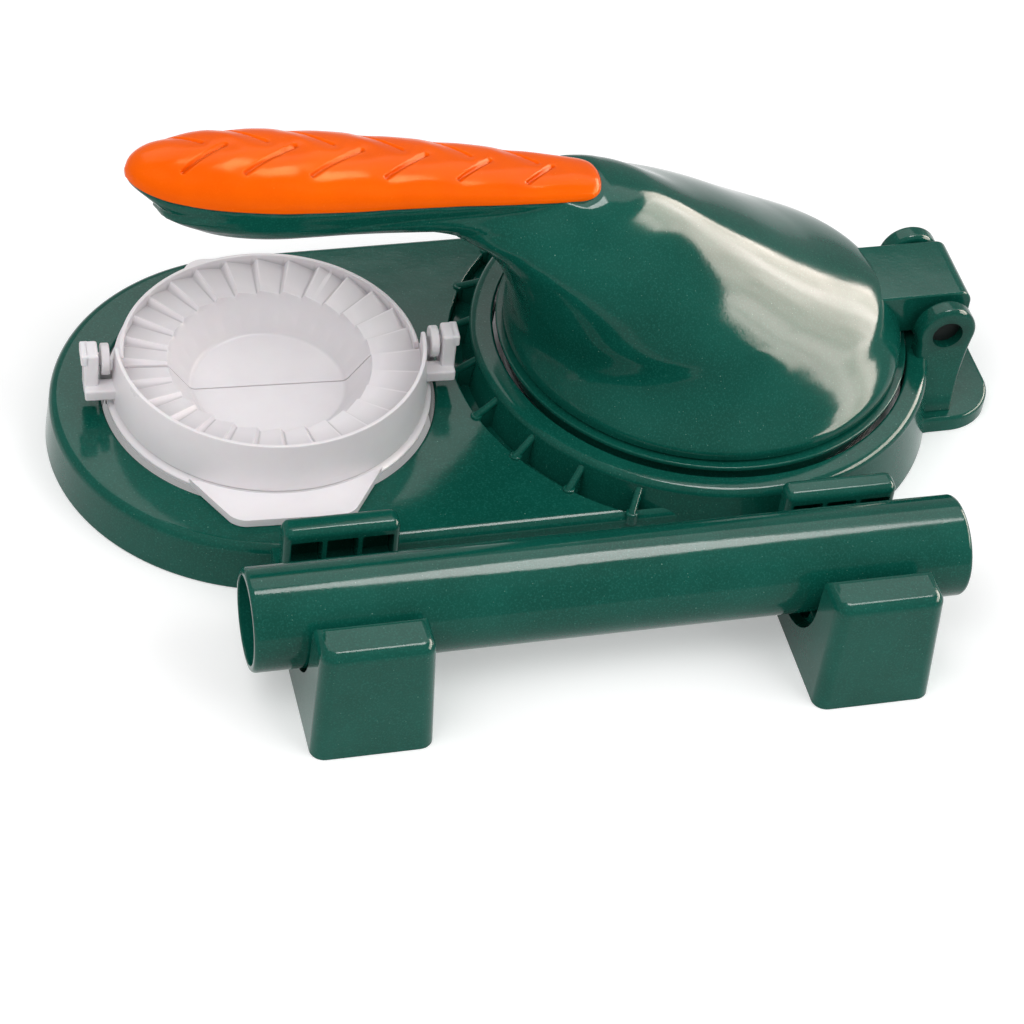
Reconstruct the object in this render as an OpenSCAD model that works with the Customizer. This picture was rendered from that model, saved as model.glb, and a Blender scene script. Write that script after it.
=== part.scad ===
// Empanada press: a hinged press that flattens a ball of dough into a round sheet, a folding
// mould that seals the filled sheet, and a rolling pin that rests in two cradles at the front.
// Millimetres. The origin is on the table, under the centre of the press.
// X points at the hinge, Y to the back and Z up.

/* [Base] */
// Half width of the plate at the table, and radius of its round left end
plate_r = 63.5; // [62:0.5:67]
// How far the plate's centre line lies in front of the centres of the press and the mould
plate_shift = 2; // [0:0.5:3]
// Height of the plate's top face above the table
plate_top = 15; // [13:0.5:17]
// Distance from the centre of the press to the centre of the mould
mould_dist = 128; // [127:1:134]
// Wall thickness of the moulded shells
skin = 2.5; // [2:0.1:3]

/* [Press] */
// Outer radius of the dome's rim
rim_r = 59.5; // [56:0.5:61]
// Height of the collar's crest above the table
collar_top = 22.5; // [21:0.5:24]
// Thickness of the sheet of dough that the closed press leaves
dough_t = 1.6; // [1:0.1:3]

/* [Lever] */
// Distance from the centre of the press to the hinge's axis
hinge_dist = 69; // [68:0.5:71]
// Height of the hinge's axis above the table
hinge_z = 30.5; // [30:0.5:32]
// Radius of the hinge pin
pin_r = 4.6; // [3.5:0.1:5]
// Distance from the centre of the press to the tip of the handle
handle_reach = 170; // [160:1:176]
// Half width of the handle at its widest
handle_half_w = 15.4; // [14:0.2:17]
// Distance from the centre of the press to the grip's right end
grip_end = 38; // [36:1:44]
// Height of the seam between the handle and its grip, where the handle is widest
seam_z = 92; // [88:0.5:96]

/* [Rolling pin] */
// Length of the rolling pin
roller_len = 197.5; // [180:0.5:220]
// Outer radius of the rolling pin
roller_r = 14; // [12:0.5:15]
// Distance between the centres of the two cradles
cradle_gap = 138; // [130:1:150]

/* [Mould] */
// Radius of the rear half's rim
mould_r = 42.6; // [41:0.2:43.4]
// Height of the mould's fold axis above the table
fold_z = 30; // [29:0.5:32]
// Number of pleats on each half
pleats = 14; // [8:1:18]
// Turn of the mould in its hole, seen from above
mould_turn = -2.8; // [-8:0.2:8]

/* [Hidden] */
$fn = 96;

GREEN = "#144d3c";
ORANGE = "#ff6a0a";
WHITE = "#f0ecef";
STEEL = "#b9bcc0";
BLACK = "#1c2220";

// A small overlap that makes unions and cuts clean.
eps = 0.01;

// Plate
plate_edge_r = 3;
plate_draft = 1;
plate_under = plate_top - skin;
hole_r = mould_r + 5;

// Collar and bed
bed_r = rim_r + 1.5;
crest_r = bed_r + 4.3;
collar_foot_r = crest_r + 5;
moat_in_r = crest_r + 3;
moat_out_r = crest_r + 8;
moat_floor = plate_top - 5;
bed_floor = 12.5;
rib_step = 15;

// Press plates, from the bed upwards
lower_t = 2.5;
lower_top = bed_floor + lower_t;
stop_out_r = rim_r - 2;
stop_in_r = stop_out_r - 2.5;
upper_face = lower_top + dough_t;
flange_top = collar_top + 2.5;
flange_t = 1.4;
groove = 1;
rim_z = flange_top + groove;
upper_body_r = rim_r - 2;
body_share = 0.98;
spigot_r = body_share * rim_r - skin - 0.4;
dough_r = stop_in_r - 0.2;

// Hinge
ear_in = 14;
ear_t = 6;
ear_r = 8.9;
// The ears' outer faces flare out below this height, by this much at the tongue.
ear_flare_z = 26;
ear_flare = 5.5;
knuckle_half = 12;
knuckle_r = 9;
knuckle_corner = 4;
pin_half = ear_in + 3;
run = 0.06;
tongue_t = 5;
tongue_end = hinge_dist + 19.2;
tongue_half = 28.5;

// Cradles
cradle_x = -53.4;
cradle_half = 16.6;
cradle_lean = 2.2;
roller_y = -(plate_r + plate_shift + 32.2);
notch_half = 9;
notch_lip = 0.4;
shelf_z = plate_top - 0.5;
seat_gap = 0.15;
roller_z = shelf_z + sqrt(pow(roller_r + seat_gap, 2) - pow(notch_half + notch_lip, 2));
block_top = 37;
block_back = roller_y - roller_r - 1.2;
block_t = 12.6;
tab_top = 30;
tab_back = -(plate_r + plate_shift + 0.4);
tab_t = 7.4;
tab_half = 16.1;
tab_round = 2.5;
pocket_pitch = 9.8;
pocket_w = 8.6;
// Each side wall of a cradle has a wide saddle cut under the rolling pin, this deep along the pin.
saddle_t = 3.6;
// The right cradle stands in front of the collar, so its tab and block lie further forward.
right_tab_shift = 5;
right_block_shift = 3;
// The tabs sit off their cradles' middles, to the right.
left_tab_aside = 1;
right_tab_aside = 3;
roller_wall = 2.2;

// Mould
mould_x = -mould_dist;
lip_r = mould_r + 1.5;
lip_top = fold_z + 4;
skirt_low = plate_top + 3;
body_r = hole_r - 1.2;
body_low = plate_top - 2.5;
// The front half's skirt ends above the plate, so that it clears the edge of the hole when it folds up.
front_low = plate_top + 0.2;
floor_r = 21.2;
floor_z = 16.5;
bowl_r = 31;
pleat_z = fold_z - 2.2;
face_gap = 0.15;
arm_in = mould_r + 2.9;
arm_t = 2.4;
post_in = arm_in + arm_t + 0.8;
post_t = 4.1;
fold_pin_r = 1.9;
post_low = plate_top + 5;
wing_tip = 55;
wing_t = 2.5;
pleat_h = 1.2;

// Smooth curve through a list of [position, value] pairs.
function slope(p, i) =
    i == 0 ? (p[1][1] - p[0][1]) / (p[1][0] - p[0][0]) :
    i == len(p) - 1 ? (p[i][1] - p[i - 1][1]) / (p[i][0] - p[i - 1][0]) :
    (p[i + 1][1] - p[i - 1][1]) / (p[i + 1][0] - p[i - 1][0]);
function hermite(p, i, t, w) =
    (2 * t * t * t - 3 * t * t + 1) * p[i][1] + (t * t * t - 2 * t * t + t) * w * slope(p, i)
    + (3 * t * t - 2 * t * t * t) * p[i + 1][1] + (t * t * t - t * t) * w * slope(p, i + 1);
function span(p, x, i = 0) = (i >= len(p) - 2 || x < p[i + 1][0]) ? i : span(p, x, i + 1);
function curve(p, x) =
    x <= p[0][0] ? p[0][1] :
    x >= p[len(p) - 1][0] ? p[len(p) - 1][1] :
    let (i = span(p, x), w = p[i + 1][0] - p[i][0]) hermite(p, i, (x - p[i][0]) / w, w);

// Closed solid through rings of points, every ring with the same number of points.
module loft(rings) {
    n = len(rings[0]);
    m = len(rings);
    points = [for (ring = rings) each ring];
    sides = [
        for (j = [0:m - 2], i = [0:n - 1])
            each [
                [j * n + i, (j + 1) * n + i, j * n + (i + 1) % n],
                [j * n + (i + 1) % n, (j + 1) * n + i, (j + 1) * n + (i + 1) % n]
            ]
    ];
    first = [for (i = [0:n - 1]) i];
    last = [for (i = [n - 1:-1:0]) (m - 1) * n + i];
    polyhedron(points, concat(sides, [first], [last]));
}

// Bar of a YZ outline, from x0 to x1. The outline is drawn with Y across and Z up.
module bar_x(x0, x1) {
    translate([x0, 0, 0]) rotate([90, 0, 90]) linear_extrude(x1 - x0) children();
}

// Bar of an XZ outline, from y0 to y1. The outline is drawn with X across and Z up.
module bar_y(y0, y1) {
    translate([0, y1, 0]) rotate([90, 0, 0]) linear_extrude(y1 - y0) children();
}

// Rectangle with round corners, centred on the origin.
module round_rect(w, d, r) {
    square([w - 2 * r, d], center = true);
    square([w, d - 2 * r], center = true);
    for (x = [-1, 1], y = [-1, 1]) translate([x * (w / 2 - r), y * (d / 2 - r)]) circle(r);
}

// Half outline of the plate: its side leans in a little and its top edge is round.
module plate_outline(inset, low) {
    r = plate_r - inset;
    top = plate_top - inset;
    e = max(plate_edge_r - inset, 0.6);
    polygon([[0, low], [r, low], [r - plate_draft, top - e], [r - plate_draft - e, top], [0, top]]);
    translate([r - plate_draft - e, top - e]) circle(e, $fn = 48);
}

// The plate as a solid: a straight bar with a round left end.
module plate_solid(inset, low) {
    bar_x(mould_x, 0) translate([-plate_shift, 0]) {
        plate_outline(inset, low);
        mirror([1, 0]) plate_outline(inset, low);
    }
    translate([mould_x, -plate_shift, 0]) rotate_extrude() intersection() {
        plate_outline(inset, low);
        translate([0, -5]) square([plate_r + 5, plate_top + 10]);
    }
}

// Round wall of the collar, leaning out towards the table, with a rounded crest.
module collar_solid() {
    rotate_extrude() {
        polygon([
            [0, 0], [collar_foot_r, 0], [crest_r + 2.4, collar_top - 3.2],
            [crest_r, collar_top - 0.9], [bed_r, collar_top - 0.9], [0, collar_top - 0.9]
        ]);
        translate([crest_r, collar_top - 2.5]) circle(2.5, $fn = 48);
        translate([bed_r, collar_top - 2]) square([4.3, 1.6]);
    }
}

// Flat tongue under the hinge, with round corners and hollow fillets at its root.
module tongue_solid() {
    c = 16;
    f = 10;
    linear_extrude(tongue_t) {
        difference() {
            translate([40, -tongue_half - f]) square([tongue_end - c - 40, 2 * (tongue_half + f)]);
            for (s = [-1, 1]) translate([tongue_end - c, s * (tongue_half + f)]) circle(f);
            for (s = [-1, 1]) translate([tongue_end - c - 5, s * (tongue_half + f) - f]) square([40, 2 * f]);
            for (s = [-1, 1]) translate([66, s * (tongue_half + f) - f]) square([60, 2 * f]);
            for (s = [-1, 1]) translate([66, s * (tongue_half + f)]) circle(f);
        }
        translate([40, -tongue_half]) square([tongue_end - c - 40, 2 * tongue_half]);
        translate([40, -tongue_half + c]) square([tongue_end - 40, 2 * tongue_half - 2 * c]);
        for (s = [-1, 1]) translate([tongue_end - c, s * (tongue_half - c)]) circle(c);
    }
}

// Side view of one hinge ear.
module ear_outline() {
    translate([hinge_dist, hinge_z]) circle(ear_r);
    polygon([
        [hinge_dist - ear_r, hinge_z], [hinge_dist - ear_r + 1, 0],
        [hinge_dist + ear_r - 5, 0], [hinge_dist + ear_r, hinge_z]
    ]);
}

// One hinge ear, with a straight inner face and an outer face that flares towards its foot.
module ear() {
    intersection() {
        bar_y(ear_in, ear_in + ear_t + ear_flare + 2) ear_outline();
        bar_x(hinge_dist - 20, hinge_dist + 20) polygon([
            [ear_in, 0], [ear_in + ear_t + ear_flare, 0], [ear_in + ear_t + ear_flare, tongue_t],
            [ear_in + ear_t, ear_flare_z], [ear_in + ear_t, hinge_z + ear_r + 1], [ear_in, hinge_z + ear_r + 1]
        ]);
    }
}

// Side view of a cradle: shelf, notch and front block. The block can lie further forward.
module cradle_outline(block_shift) {
    back = block_back - block_shift;
    front = back - block_t;
    difference() {
        union() {
            polygon([
                [-plate_r + 8, 0], [-plate_r + 8, shelf_z], [roller_y + notch_half + notch_lip, shelf_z],
                [roller_y + notch_half, shelf_z - notch_lip], [roller_y + notch_half, 4],
                [roller_y - notch_half, 4], [roller_y - notch_half, shelf_z - notch_lip],
                [roller_y - notch_half - notch_lip, shelf_z], [back, shelf_z], [back, block_top - 3],
                [back - 3, block_top], [front + 3, block_top], [front, block_top - 3], [front - 1.6, 0]
            ]);
            translate([back - 3, block_top - 3]) circle(3, $fn = 48);
            translate([front + 3, block_top - 3]) circle(3, $fn = 48);
        }
        translate([roller_y, 6 + notch_half]) circle(notch_half);
    }
}

// Front view of a cradle, leaning in on both sides, with round top corners.
module cradle_face(top, y0, y1) {
    half = cradle_half - top * tan(cradle_lean);
    bar_y(y0, y1) {
        polygon([
            [-cradle_half, 0], [cradle_half, 0], [half + 3 * tan(cradle_lean), top - 3], [half - 3, top],
            [3 - half, top], [-half - 3 * tan(cradle_lean), top - 3]
        ]);
        for (s = [-1, 1]) translate([s * (half - 2.9), top - 3]) circle(3, $fn = 48);
    }
}

// Upright tab behind the rolling pin, with round top edges, seen from both sides.
module cradle_tab(tab) {
    intersection() {
        bar_x(-tab_half, tab_half) round_top(tab - tab_t, tab);
        bar_y(tab - tab_t - 1, tab + 1) round_top(-tab_half, tab_half);
    }
}
module round_top(a, b) {
    polygon([
        [a, 5], [a, tab_top - tab_round], [a + tab_round, tab_top], [b - tab_round, tab_top],
        [b, tab_top - tab_round], [b, 5]
    ]);
    for (c = [a + tab_round, b - tab_round]) translate([c, tab_top - tab_round]) circle(tab_round, $fn = 48);
}

// One cradle, with three pockets that open to the front in its tab and a hollow underside.
module cradle(x, tab_shift, block_shift, tab_aside) {
    tab = tab_back - tab_shift;
    back = block_back - block_shift;
    translate([x, 0, 0]) difference() {
        union() {
            intersection() {
                bar_x(-cradle_half, cradle_half) cradle_outline(block_shift);
                cradle_face(block_top, back - block_t - 5, 0);
            }
            translate([tab_aside, 0, 0]) cradle_tab(tab);
        }
        // Pockets of the tab.
        for (i = [-1:1]) translate([tab_aside + i * pocket_pitch - pocket_w / 2, tab - tab_t - 1, plate_top + 1.5])
            cube([pocket_w, tab_t - 1.2, tab_top - plate_top - 4.5]);
        // Saddles in the side walls.
        for (s = [0, 1]) mirror([s, 0, 0]) translate([cradle_half - saddle_t, roller_y, roller_z]) rotate([0, 90, 0])
            cylinder(saddle_t + 1, r = roller_r + 1.2 + block_shift);
        // Hollow under the front block.
        translate([-cradle_half + 4, back - block_t + skin, -1])
            cube([2 * (cradle_half - 4), block_t - 2 * skin, block_top - skin - 1]);
        // Hollow under the shelf.
        translate([-cradle_half + 4, roller_y + notch_half + skin, -1])
            cube([2 * (cradle_half - 4), 15, plate_top - 3]);
    }
}

// Ribs that brace the collar across the moat, each with a round foot on the plate.
module moat_ribs() {
    foot_r = moat_out_r + 0.4;
    drop = atan2(collar_top - 3 - plate_top, foot_r - crest_r - 1.5);
    run_len = norm([collar_top - 3 - plate_top, foot_r - crest_r - 1.5]);
    for (a = [120:rib_step:240]) {
        rotate([0, 0, a]) {
            translate([crest_r + 1.5, 0, collar_top - 3]) rotate([0, 90 + drop, 0]) cylinder(run_len, r = 1.1, $fn = 24);
            translate([foot_r, 0, plate_top - 3]) cylinder(3.4, r = 1.7, $fn = 32);
            bar_y(-0.8, 0.8) polygon([
                [crest_r, moat_floor - 1], [foot_r, moat_floor - 1], [foot_r, plate_top],
                [crest_r + 1.5, collar_top - 3], [crest_r, collar_top - 3]
            ]);
        }
    }
}

module base_shell() {
    color(GREEN) difference() {
        union() {
            difference() {
                union() {
                    plate_solid(0, 0);
                    collar_solid();
                    tongue_solid();
                    cradle(cradle_centre(-1), 0, 0, left_tab_aside);
                    cradle(cradle_centre(1), right_tab_shift, right_block_shift, right_tab_aside);
                }
                // Moat round the collar, cut where the plate carries it.
                intersection() {
                    rotate_extrude() translate([moat_in_r, moat_floor])
                        square([moat_out_r - moat_in_r, 20]);
                    translate([-120, -plate_r - plate_shift + 3, 0]) cube([120, 2 * plate_r - 6, 60]);
                    translate([0, 0, plate_top - 5]) cylinder(40, r = 100);
                }
                // Hollow underside of the plate, clear of the moat's floor and of the mould's hole.
                difference() {
                    plate_solid(skin, -1);
                    cylinder(40, r = moat_out_r + skin);
                    translate([mould_x, 0, -2]) cylinder(40, r = hole_r + skin);
                }
                // Hollow below the moat.
                intersection() {
                    difference() {
                        translate([0, 0, -1]) cylinder(1 + moat_floor - skin, r = moat_out_r + skin + eps);
                        translate([0, 0, -2]) cylinder(40, r = collar_foot_r - skin);
                    }
                    plate_solid(skin, -1);
                }
                // Hollow under the bed's floor.
                translate([0, 0, -1]) cylinder(1 + bed_floor - skin, r = collar_foot_r - 2 * skin);
                // Bed that takes the lower press plate.
                translate([0, 0, bed_floor]) cylinder(40, r = bed_r);
                // Hole for the mould.
                translate([mould_x, 0, -1]) cylinder(40, r = hole_r);
            }
            moat_ribs();
            ear();
            mirror([0, 1, 0]) ear();
        }
        // Relief in the collar for the turning knuckle.
        translate([hinge_dist, knuckle_half + 1, hinge_z]) rotate([90, 0, 0])
            cylinder(2 * knuckle_half + 2, r = knuckle_r + 0.8);
        // Ears stay clear of the dome's rim.
        translate([0, 0, collar_top + eps]) cylinder(40, r = rim_r + 0.8);
        // Bores for the hinge pin, each with a recess outside.
        translate([hinge_dist, ear_in + ear_t + 1, hinge_z]) rotate([90, 0, 0])
            cylinder(2 * (ear_in + ear_t + 1), r = pin_r);
        // Clearance holes for the screws of the lower press plate.
        for (a = [45:90:315]) rotate([0, 0, a]) translate([40, 0, 0]) cylinder(20, r = 4.2, $fn = 48);
    }
}

// X of the centre of the left cradle (-1) or the right one (1).
function cradle_centre(s) = cradle_x + s * cradle_gap / 2;

module lower_press_plate() {
    color(STEEL) difference() {
        union() {
            translate([0, 0, bed_floor]) cylinder(lower_t, r = bed_r - 0.3);
            rotate_extrude() translate([stop_in_r, lower_top - 0.5]) square([stop_out_r - stop_in_r, dough_t + 0.4]);
            for (a = [45:90:315]) rotate([0, 0, a]) translate([40, 0, bed_floor - skin + 0.1])
                cylinder(skin + 1, r = 4, $fn = 48);
        }
        for (a = [45:90:315]) rotate([0, 0, a]) translate([40, 0, 5])
            cylinder(lower_top - 5 - 0.8, r = 1.5, $fn = 32);
    }
}

module lower_plate_screws() {
    head_z = bed_floor - skin;
    color(STEEL) for (a = [45:90:315]) rotate([0, 0, a]) translate([40, 0, 0]) difference() {
        union() {
            translate([0, 0, head_z - 2]) cylinder(2, r = 5.5, $fn = 48);
            translate([0, 0, head_z - 0.5]) cylinder(4, r = 1.5, $fn = 32);
        }
        translate([0, 0, head_z - 3]) cylinder(2, r = 1.4, $fn = 6);
    }
}

module hinge_pin() {
    color(BLACK) translate([hinge_dist, pin_half, hinge_z]) rotate([90, 0, 0]) cylinder(2 * pin_half, r = pin_r);
}

// Dome

// Left end, right end and half width of the dome's level outline at height share t, as shares of its rim.
dome_top = seam_z - 2;
dome_h = dome_top - rim_z;
DOME_LEFT = [
    [0, body_share], [0.05, 0.985], [0.15, 0.976], [0.25, 0.997], [0.35, 1.025], [0.45, 1.067],
    [0.55, 1.124], [0.65, 1.215], [0.7, 1.28], [0.75, 1.33], [0.8, 1.22], [0.85, 1.05], [0.9, 0.93], [1, 0.85]
];
DOME_RIGHT = [
    [0, body_share], [0.06, 0.978], [0.14, 0.93], [0.22, 0.85], [0.375, 0.515], [0.56, 0.168],
    [0.69, -0.084], [0.84, -0.36], [0.94, -0.6], [1, -0.72]
];
DOME_HALF = [
    [0, body_share], [0.04, 0.98], [0.08, 0.93], [0.12, 0.87], [0.16, 0.815], [0.2, 0.77], [0.25, 0.73],
    [0.3, 0.702], [0.35, 0.677], [0.45, 0.613], [0.55, 0.545], [0.65, 0.46], [0.75, 0.347], [0.85, 0.245],
    [0.95, 0.143], [1, 0.08]
];
function dome_left(t) = -rim_r * curve(DOME_LEFT, t);
function dome_right(t) = rim_r * curve(DOME_RIGHT, t);
function dome_half(t) = rim_r * curve(DOME_HALF, t);

// Level ring of the dome at height share t, drawn in by inset.
function dome_ring(t, inset, n) =
    let (
        x0 = dome_left(t) + inset,
        x1 = dome_right(t) - inset,
        cx = (x0 + x1) / 2,
        rx = (x1 - x0) / 2,
        ry = max(dome_half(t) - inset, 0.5)
    )
    [for (i = [0:n - 1]) [cx - rx * cos(i * 360 / n), -ry * sin(i * 360 / n), rim_z + t * dome_h]];

module dome_solid() {
    steps = [0, 0.02, 0.05, 0.09, 0.13, 0.17, 0.22, 0.28, 0.35, 0.42, 0.49, 0.56, 0.63, 0.7, 0.76, 0.82, 0.87, 0.91];
    loft([for (t = steps) dome_ring(t, 0, 48)]);
}

module dome_hollow() {
    steps = [-0.05, 0.03, 0.08, 0.12, 0.17, 0.23, 0.3, 0.4, 0.5, 0.6, 0.68];
    loft([for (t = steps) dome_ring(t, skin + 0.6 * t, 32)]);
}

// Handle

// Length of the grip, and the handle's position at share t of it, counted from the tip.
grip_len = handle_reach - grip_end;
function handle_x(t) = t * grip_len - handle_reach;

// Half width, depth below the seam, height of the grip's crown and height of the seam along the handle.
WIDTHS = [
    [0, 0.07], [0.012, 0.3], [0.038, 0.52], [0.076, 0.7], [0.114, 0.8], [0.167, 0.9], [0.227, 0.96],
    [0.303, 1], [0.379, 0.99], [0.455, 0.965], [0.53, 0.91], [0.606, 0.86], [0.682, 0.81], [0.758, 0.76],
    [0.833, 0.7], [0.909, 0.62], [1, 0.52]
];
DEPTHS = [[0, 1], [0.038, 4], [0.076, 8], [0.114, 11], [0.167, 13], [0.24, 14.4], [0.303, 14.5], [0.38, 13.7], [0.455, 12.7], [0.6, 12], [0.75, 11], [1, 10]];
CROWNS = [[0, 1.5], [0.012, 4], [0.04, 6.5], [0.1, 9.3], [0.2, 11], [0.35, 10.3], [0.5, 8.8], [0.65, 7.2], [0.8, 5.6], [1, 4]];
SEAMS = [[0, 5.6], [0.1, 3.3], [0.2, 1.7], [0.3, 0.4], [0.38, -0.5], [0.53, -2.3], [0.68, -4.3], [0.83, -6.9], [1, -10]];
function handle_w(t) = handle_half_w * curve(WIDTHS, t);
function handle_d(t) = curve(DEPTHS, t);
function seam(t) = seam_z + curve(SEAMS, t);

// The grip's right end is round, so its crown narrows and sinks there.
ROUND_END = [[0.93, 1], [0.955, 0.97], [0.975, 0.86], [0.99, 0.66], [1, 0.36]];
function crown_w(t) = handle_w(t) * curve(ROUND_END, t);
function grip_h(t) = curve(CROWNS, t) * (1 + curve(ROUND_END, t)) / 2;

// Cross-section of the handle at share t: the hull below the seam, or the crown above it.
function hull_ring(t, inset, n) =
    let (w = max(handle_w(t) - inset, 0.3), d = max(handle_d(t) - inset, 0.3), z = seam(t), x = handle_x(t))
    [for (i = [0:n]) let (a = 180 + i * 180 / n) [x, w * sgn_pow(cos(a), 0.8), z + d * sgn_pow(sin(a), 0.85)]];
function crown_ring(t, inset, n) =
    let (w = max(crown_w(t) - inset, 0.3), h = max(grip_h(t) - inset, 0.3), z = seam(t), x = handle_x(t))
    [for (i = [0:n]) let (a = i * 180 / n) [x, w * sgn_pow(cos(a), 0.85), z + h * sgn_pow(sin(a), 0.9)]];
function sgn_pow(v, p) = sign(v) * pow(abs(v), p);

HANDLE_STEPS = [0, 0.012, 0.035, 0.07, 0.12, 0.18, 0.26, 0.36, 0.46, 0.56, 0.66, 0.76, 0.84, 0.93, 0.955, 0.975, 0.99, 1];

module handle_hull() {
    loft([for (t = HANDLE_STEPS) [for (p = hull_ring(t, 0, 20)) p]]);
}

// Channel in the handle's hull, open at the seam where the grip closes it.
module handle_trough() {
    steps = [0.04, 0.08, 0.13, 0.2, 0.35, 0.5, 0.65, 0.8, 0.9];
    loft([for (t = steps) concat(
        [[handle_x(t), -handle_w(t) + skin, seam(t) + 1]],
        hull_ring(t, skin, 14),
        [[handle_x(t), handle_w(t) - skin, seam(t) + 1]]
    )]);
}

// Places of the two grip screws, as shares of the handle's length.
GRIP_SCREWS = [0.18, 0.58];
function hull_low(t) = seam(t) - handle_d(t);

// Posts of the upper press plate push into these bosses.
module plate_posts(z0, z1, r) {
    for (a = [45:90:315]) rotate([0, 0, a]) translate([38, 0, z0]) cylinder(z1 - z0, r = r, $fn = 48);
}

module crown_solid() {
    loft([for (t = HANDLE_STEPS) crown_ring(t, 0, 20)]);
}

module lever_shell() {
    color(GREEN) difference() {
        union() {
            difference() {
                union() {
                    dome_solid();
                    handle_hull();
                }
                dome_hollow();
                handle_trough();
            }
            intersection() {
                dome_solid();
                plate_posts(rim_z + 2, rim_z + 40, 4.6);
            }
            for (t = GRIP_SCREWS) translate([handle_x(t), 0, hull_low(t) + 1])
                cylinder(handle_d(t) - 1.2, r = 5, $fn = 48);
            // Knuckle between the ears.
            bar_y(-knuckle_half, knuckle_half) difference() {
                union() {
                    translate([hinge_dist, hinge_z]) circle(knuckle_r);
                    translate([44, rim_z]) square([
                        hinge_dist + knuckle_r - knuckle_corner - 44, hinge_z + knuckle_r - rim_z
                    ]);
                    translate([hinge_dist, hinge_z]) square([knuckle_r, knuckle_r - knuckle_corner]);
                    translate([hinge_dist + knuckle_r - knuckle_corner, hinge_z + knuckle_r - knuckle_corner])
                        circle(knuckle_corner, $fn = 48);
                }
                translate([-1, rim_z - 20]) square([rim_r + 1, 20]);
            }
        }
        for (t = GRIP_SCREWS) translate([handle_x(t), 0, 0]) {
            translate([0, 0, hull_low(t) - 5]) cylinder(8, r = 3.7, $fn = 48);
            translate([0, 0, hull_low(t)]) cylinder(20, r = 1.7, $fn = 32);
        }
        plate_posts(rim_z, rim_z + 11, 2.4);
        crown_solid();
        translate([hinge_dist, knuckle_half + 1, hinge_z]) rotate([90, 0, 0])
            cylinder(2 * knuckle_half + 2, r = pin_r + run);
    }
}

// Grooves of the grip: start, run along the handle and half span of each pair of bars, from the tip.
GROOVES = [[-155.5, 12.5], [-139, 15], [-121, 15.5], [-100.5, 13], [-80, 10.5], [-60, 8.5]];
module groove_bar(x0, y0, x1, y1) {
    translate([x0, y0, 0]) rotate([0, 0, atan2(y1 - y0, x1 - x0)]) translate([0, -0.7, seam_z - 12])
        cube([norm([x1 - x0, y1 - y0]), 1.4, 40]);
}

module handle_grip() {
    color(ORANGE) difference() {
        union() {
            difference() {
                crown_solid();
                loft([for (t = [0.05, 0.1, 0.2, 0.35, 0.5, 0.65, 0.8]) concat(
                    [[handle_x(t), handle_w(t) - 2.8, seam(t) - 1]],
                    crown_ring(t, 2.8, 14),
                    [[handle_x(t), -handle_w(t) + 2.8, seam(t) - 1]]
                )]);
            }
            for (t = GRIP_SCREWS) translate([handle_x(t), 0, seam(t) + 0.2])
                cylinder(grip_h(t) - 1.5, r = 4, $fn = 48);
        }
        for (t = GRIP_SCREWS) translate([handle_x(t), 0, seam(t) - 1])
            cylinder(grip_h(t) - 1.4, r = 1.5, $fn = 32);
        // Shallow grooves in herringbone pairs.
        difference() {
            for (g = GROOVES) {
                w = handle_w((g[0] + handle_reach) / grip_len);
                groove_bar(g[0], -0.62 * w, g[0] + g[1], 0.1 * w);
                groove_bar(g[0] - 3, 0.75 * w, g[0] + 0.5 * g[1], 0.2 * w);
            }
            loft([for (t = HANDLE_STEPS) crown_ring(t, 0.7, 20)]);
        }
    }
}

module grip_screws() {
    color(STEEL) for (t = GRIP_SCREWS) translate([handle_x(t), 0, hull_low(t)]) difference() {
        union() {
            translate([0, 0, 1]) cylinder(2, r = 3.4, $fn = 48);
            translate([0, 0, 2]) cylinder(handle_d(t) + grip_h(t) - 6.5, r = 1.5, $fn = 32);
        }
        translate([0, 0, 0]) cylinder(2, r = 1.3, $fn = 6);
    }
}

module upper_press_plate() {
    color(GREEN) union() {
        rotate_extrude() polygon([
            [0, upper_face], [upper_body_r, upper_face], [upper_body_r, flange_top - flange_t],
            [rim_r, flange_top - flange_t], [rim_r, flange_top], [spigot_r, flange_top],
            [spigot_r, rim_z + 3], [spigot_r - 2, rim_z + 3], [spigot_r - 2, upper_face + skin],
            [0, upper_face + skin]
        ]);
        plate_posts(upper_face + 1, rim_z + 1.9, 4.2);
        plate_posts(upper_face + 1, rim_z + 10, 2.4);
    }
}

module rolling_pin() {
    color(GREEN) translate([cradle_x - roller_len / 2, roller_y, roller_z]) rotate([0, 90, 0]) difference() {
        cylinder(roller_len, r = roller_r);
        translate([0, 0, -1]) cylinder(roller_len + 2, r = roller_r - roller_wall);
    }
}

// Sawtooth pleats of one half, from angle a0 over 180 degrees. Each tooth climbs and then drops.
module pleat_ring(a0, r_out) {
    step = 180 / pleats;
    low = pleat_z - pleat_h - 0.6;
    function column(a, h) = [
        [bowl_r * cos(a), bowl_r * sin(a), pleat_z - pleat_h + 0.7 * h],
        [r_out * cos(a), r_out * sin(a), pleat_z - pleat_h + h + 0.4],
        [r_out * cos(a), r_out * sin(a), low],
        [bowl_r * cos(a), bowl_r * sin(a), low]
    ];
    loft([for (k = [0:pleats - 1]) each [
        column(a0 + k * step + 0.4, 0),
        column(a0 + (k + 0.5) * step, 0.5 * pleat_h),
        column(a0 + (k + 1) * step, pleat_h)
    ]]);
}

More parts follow.
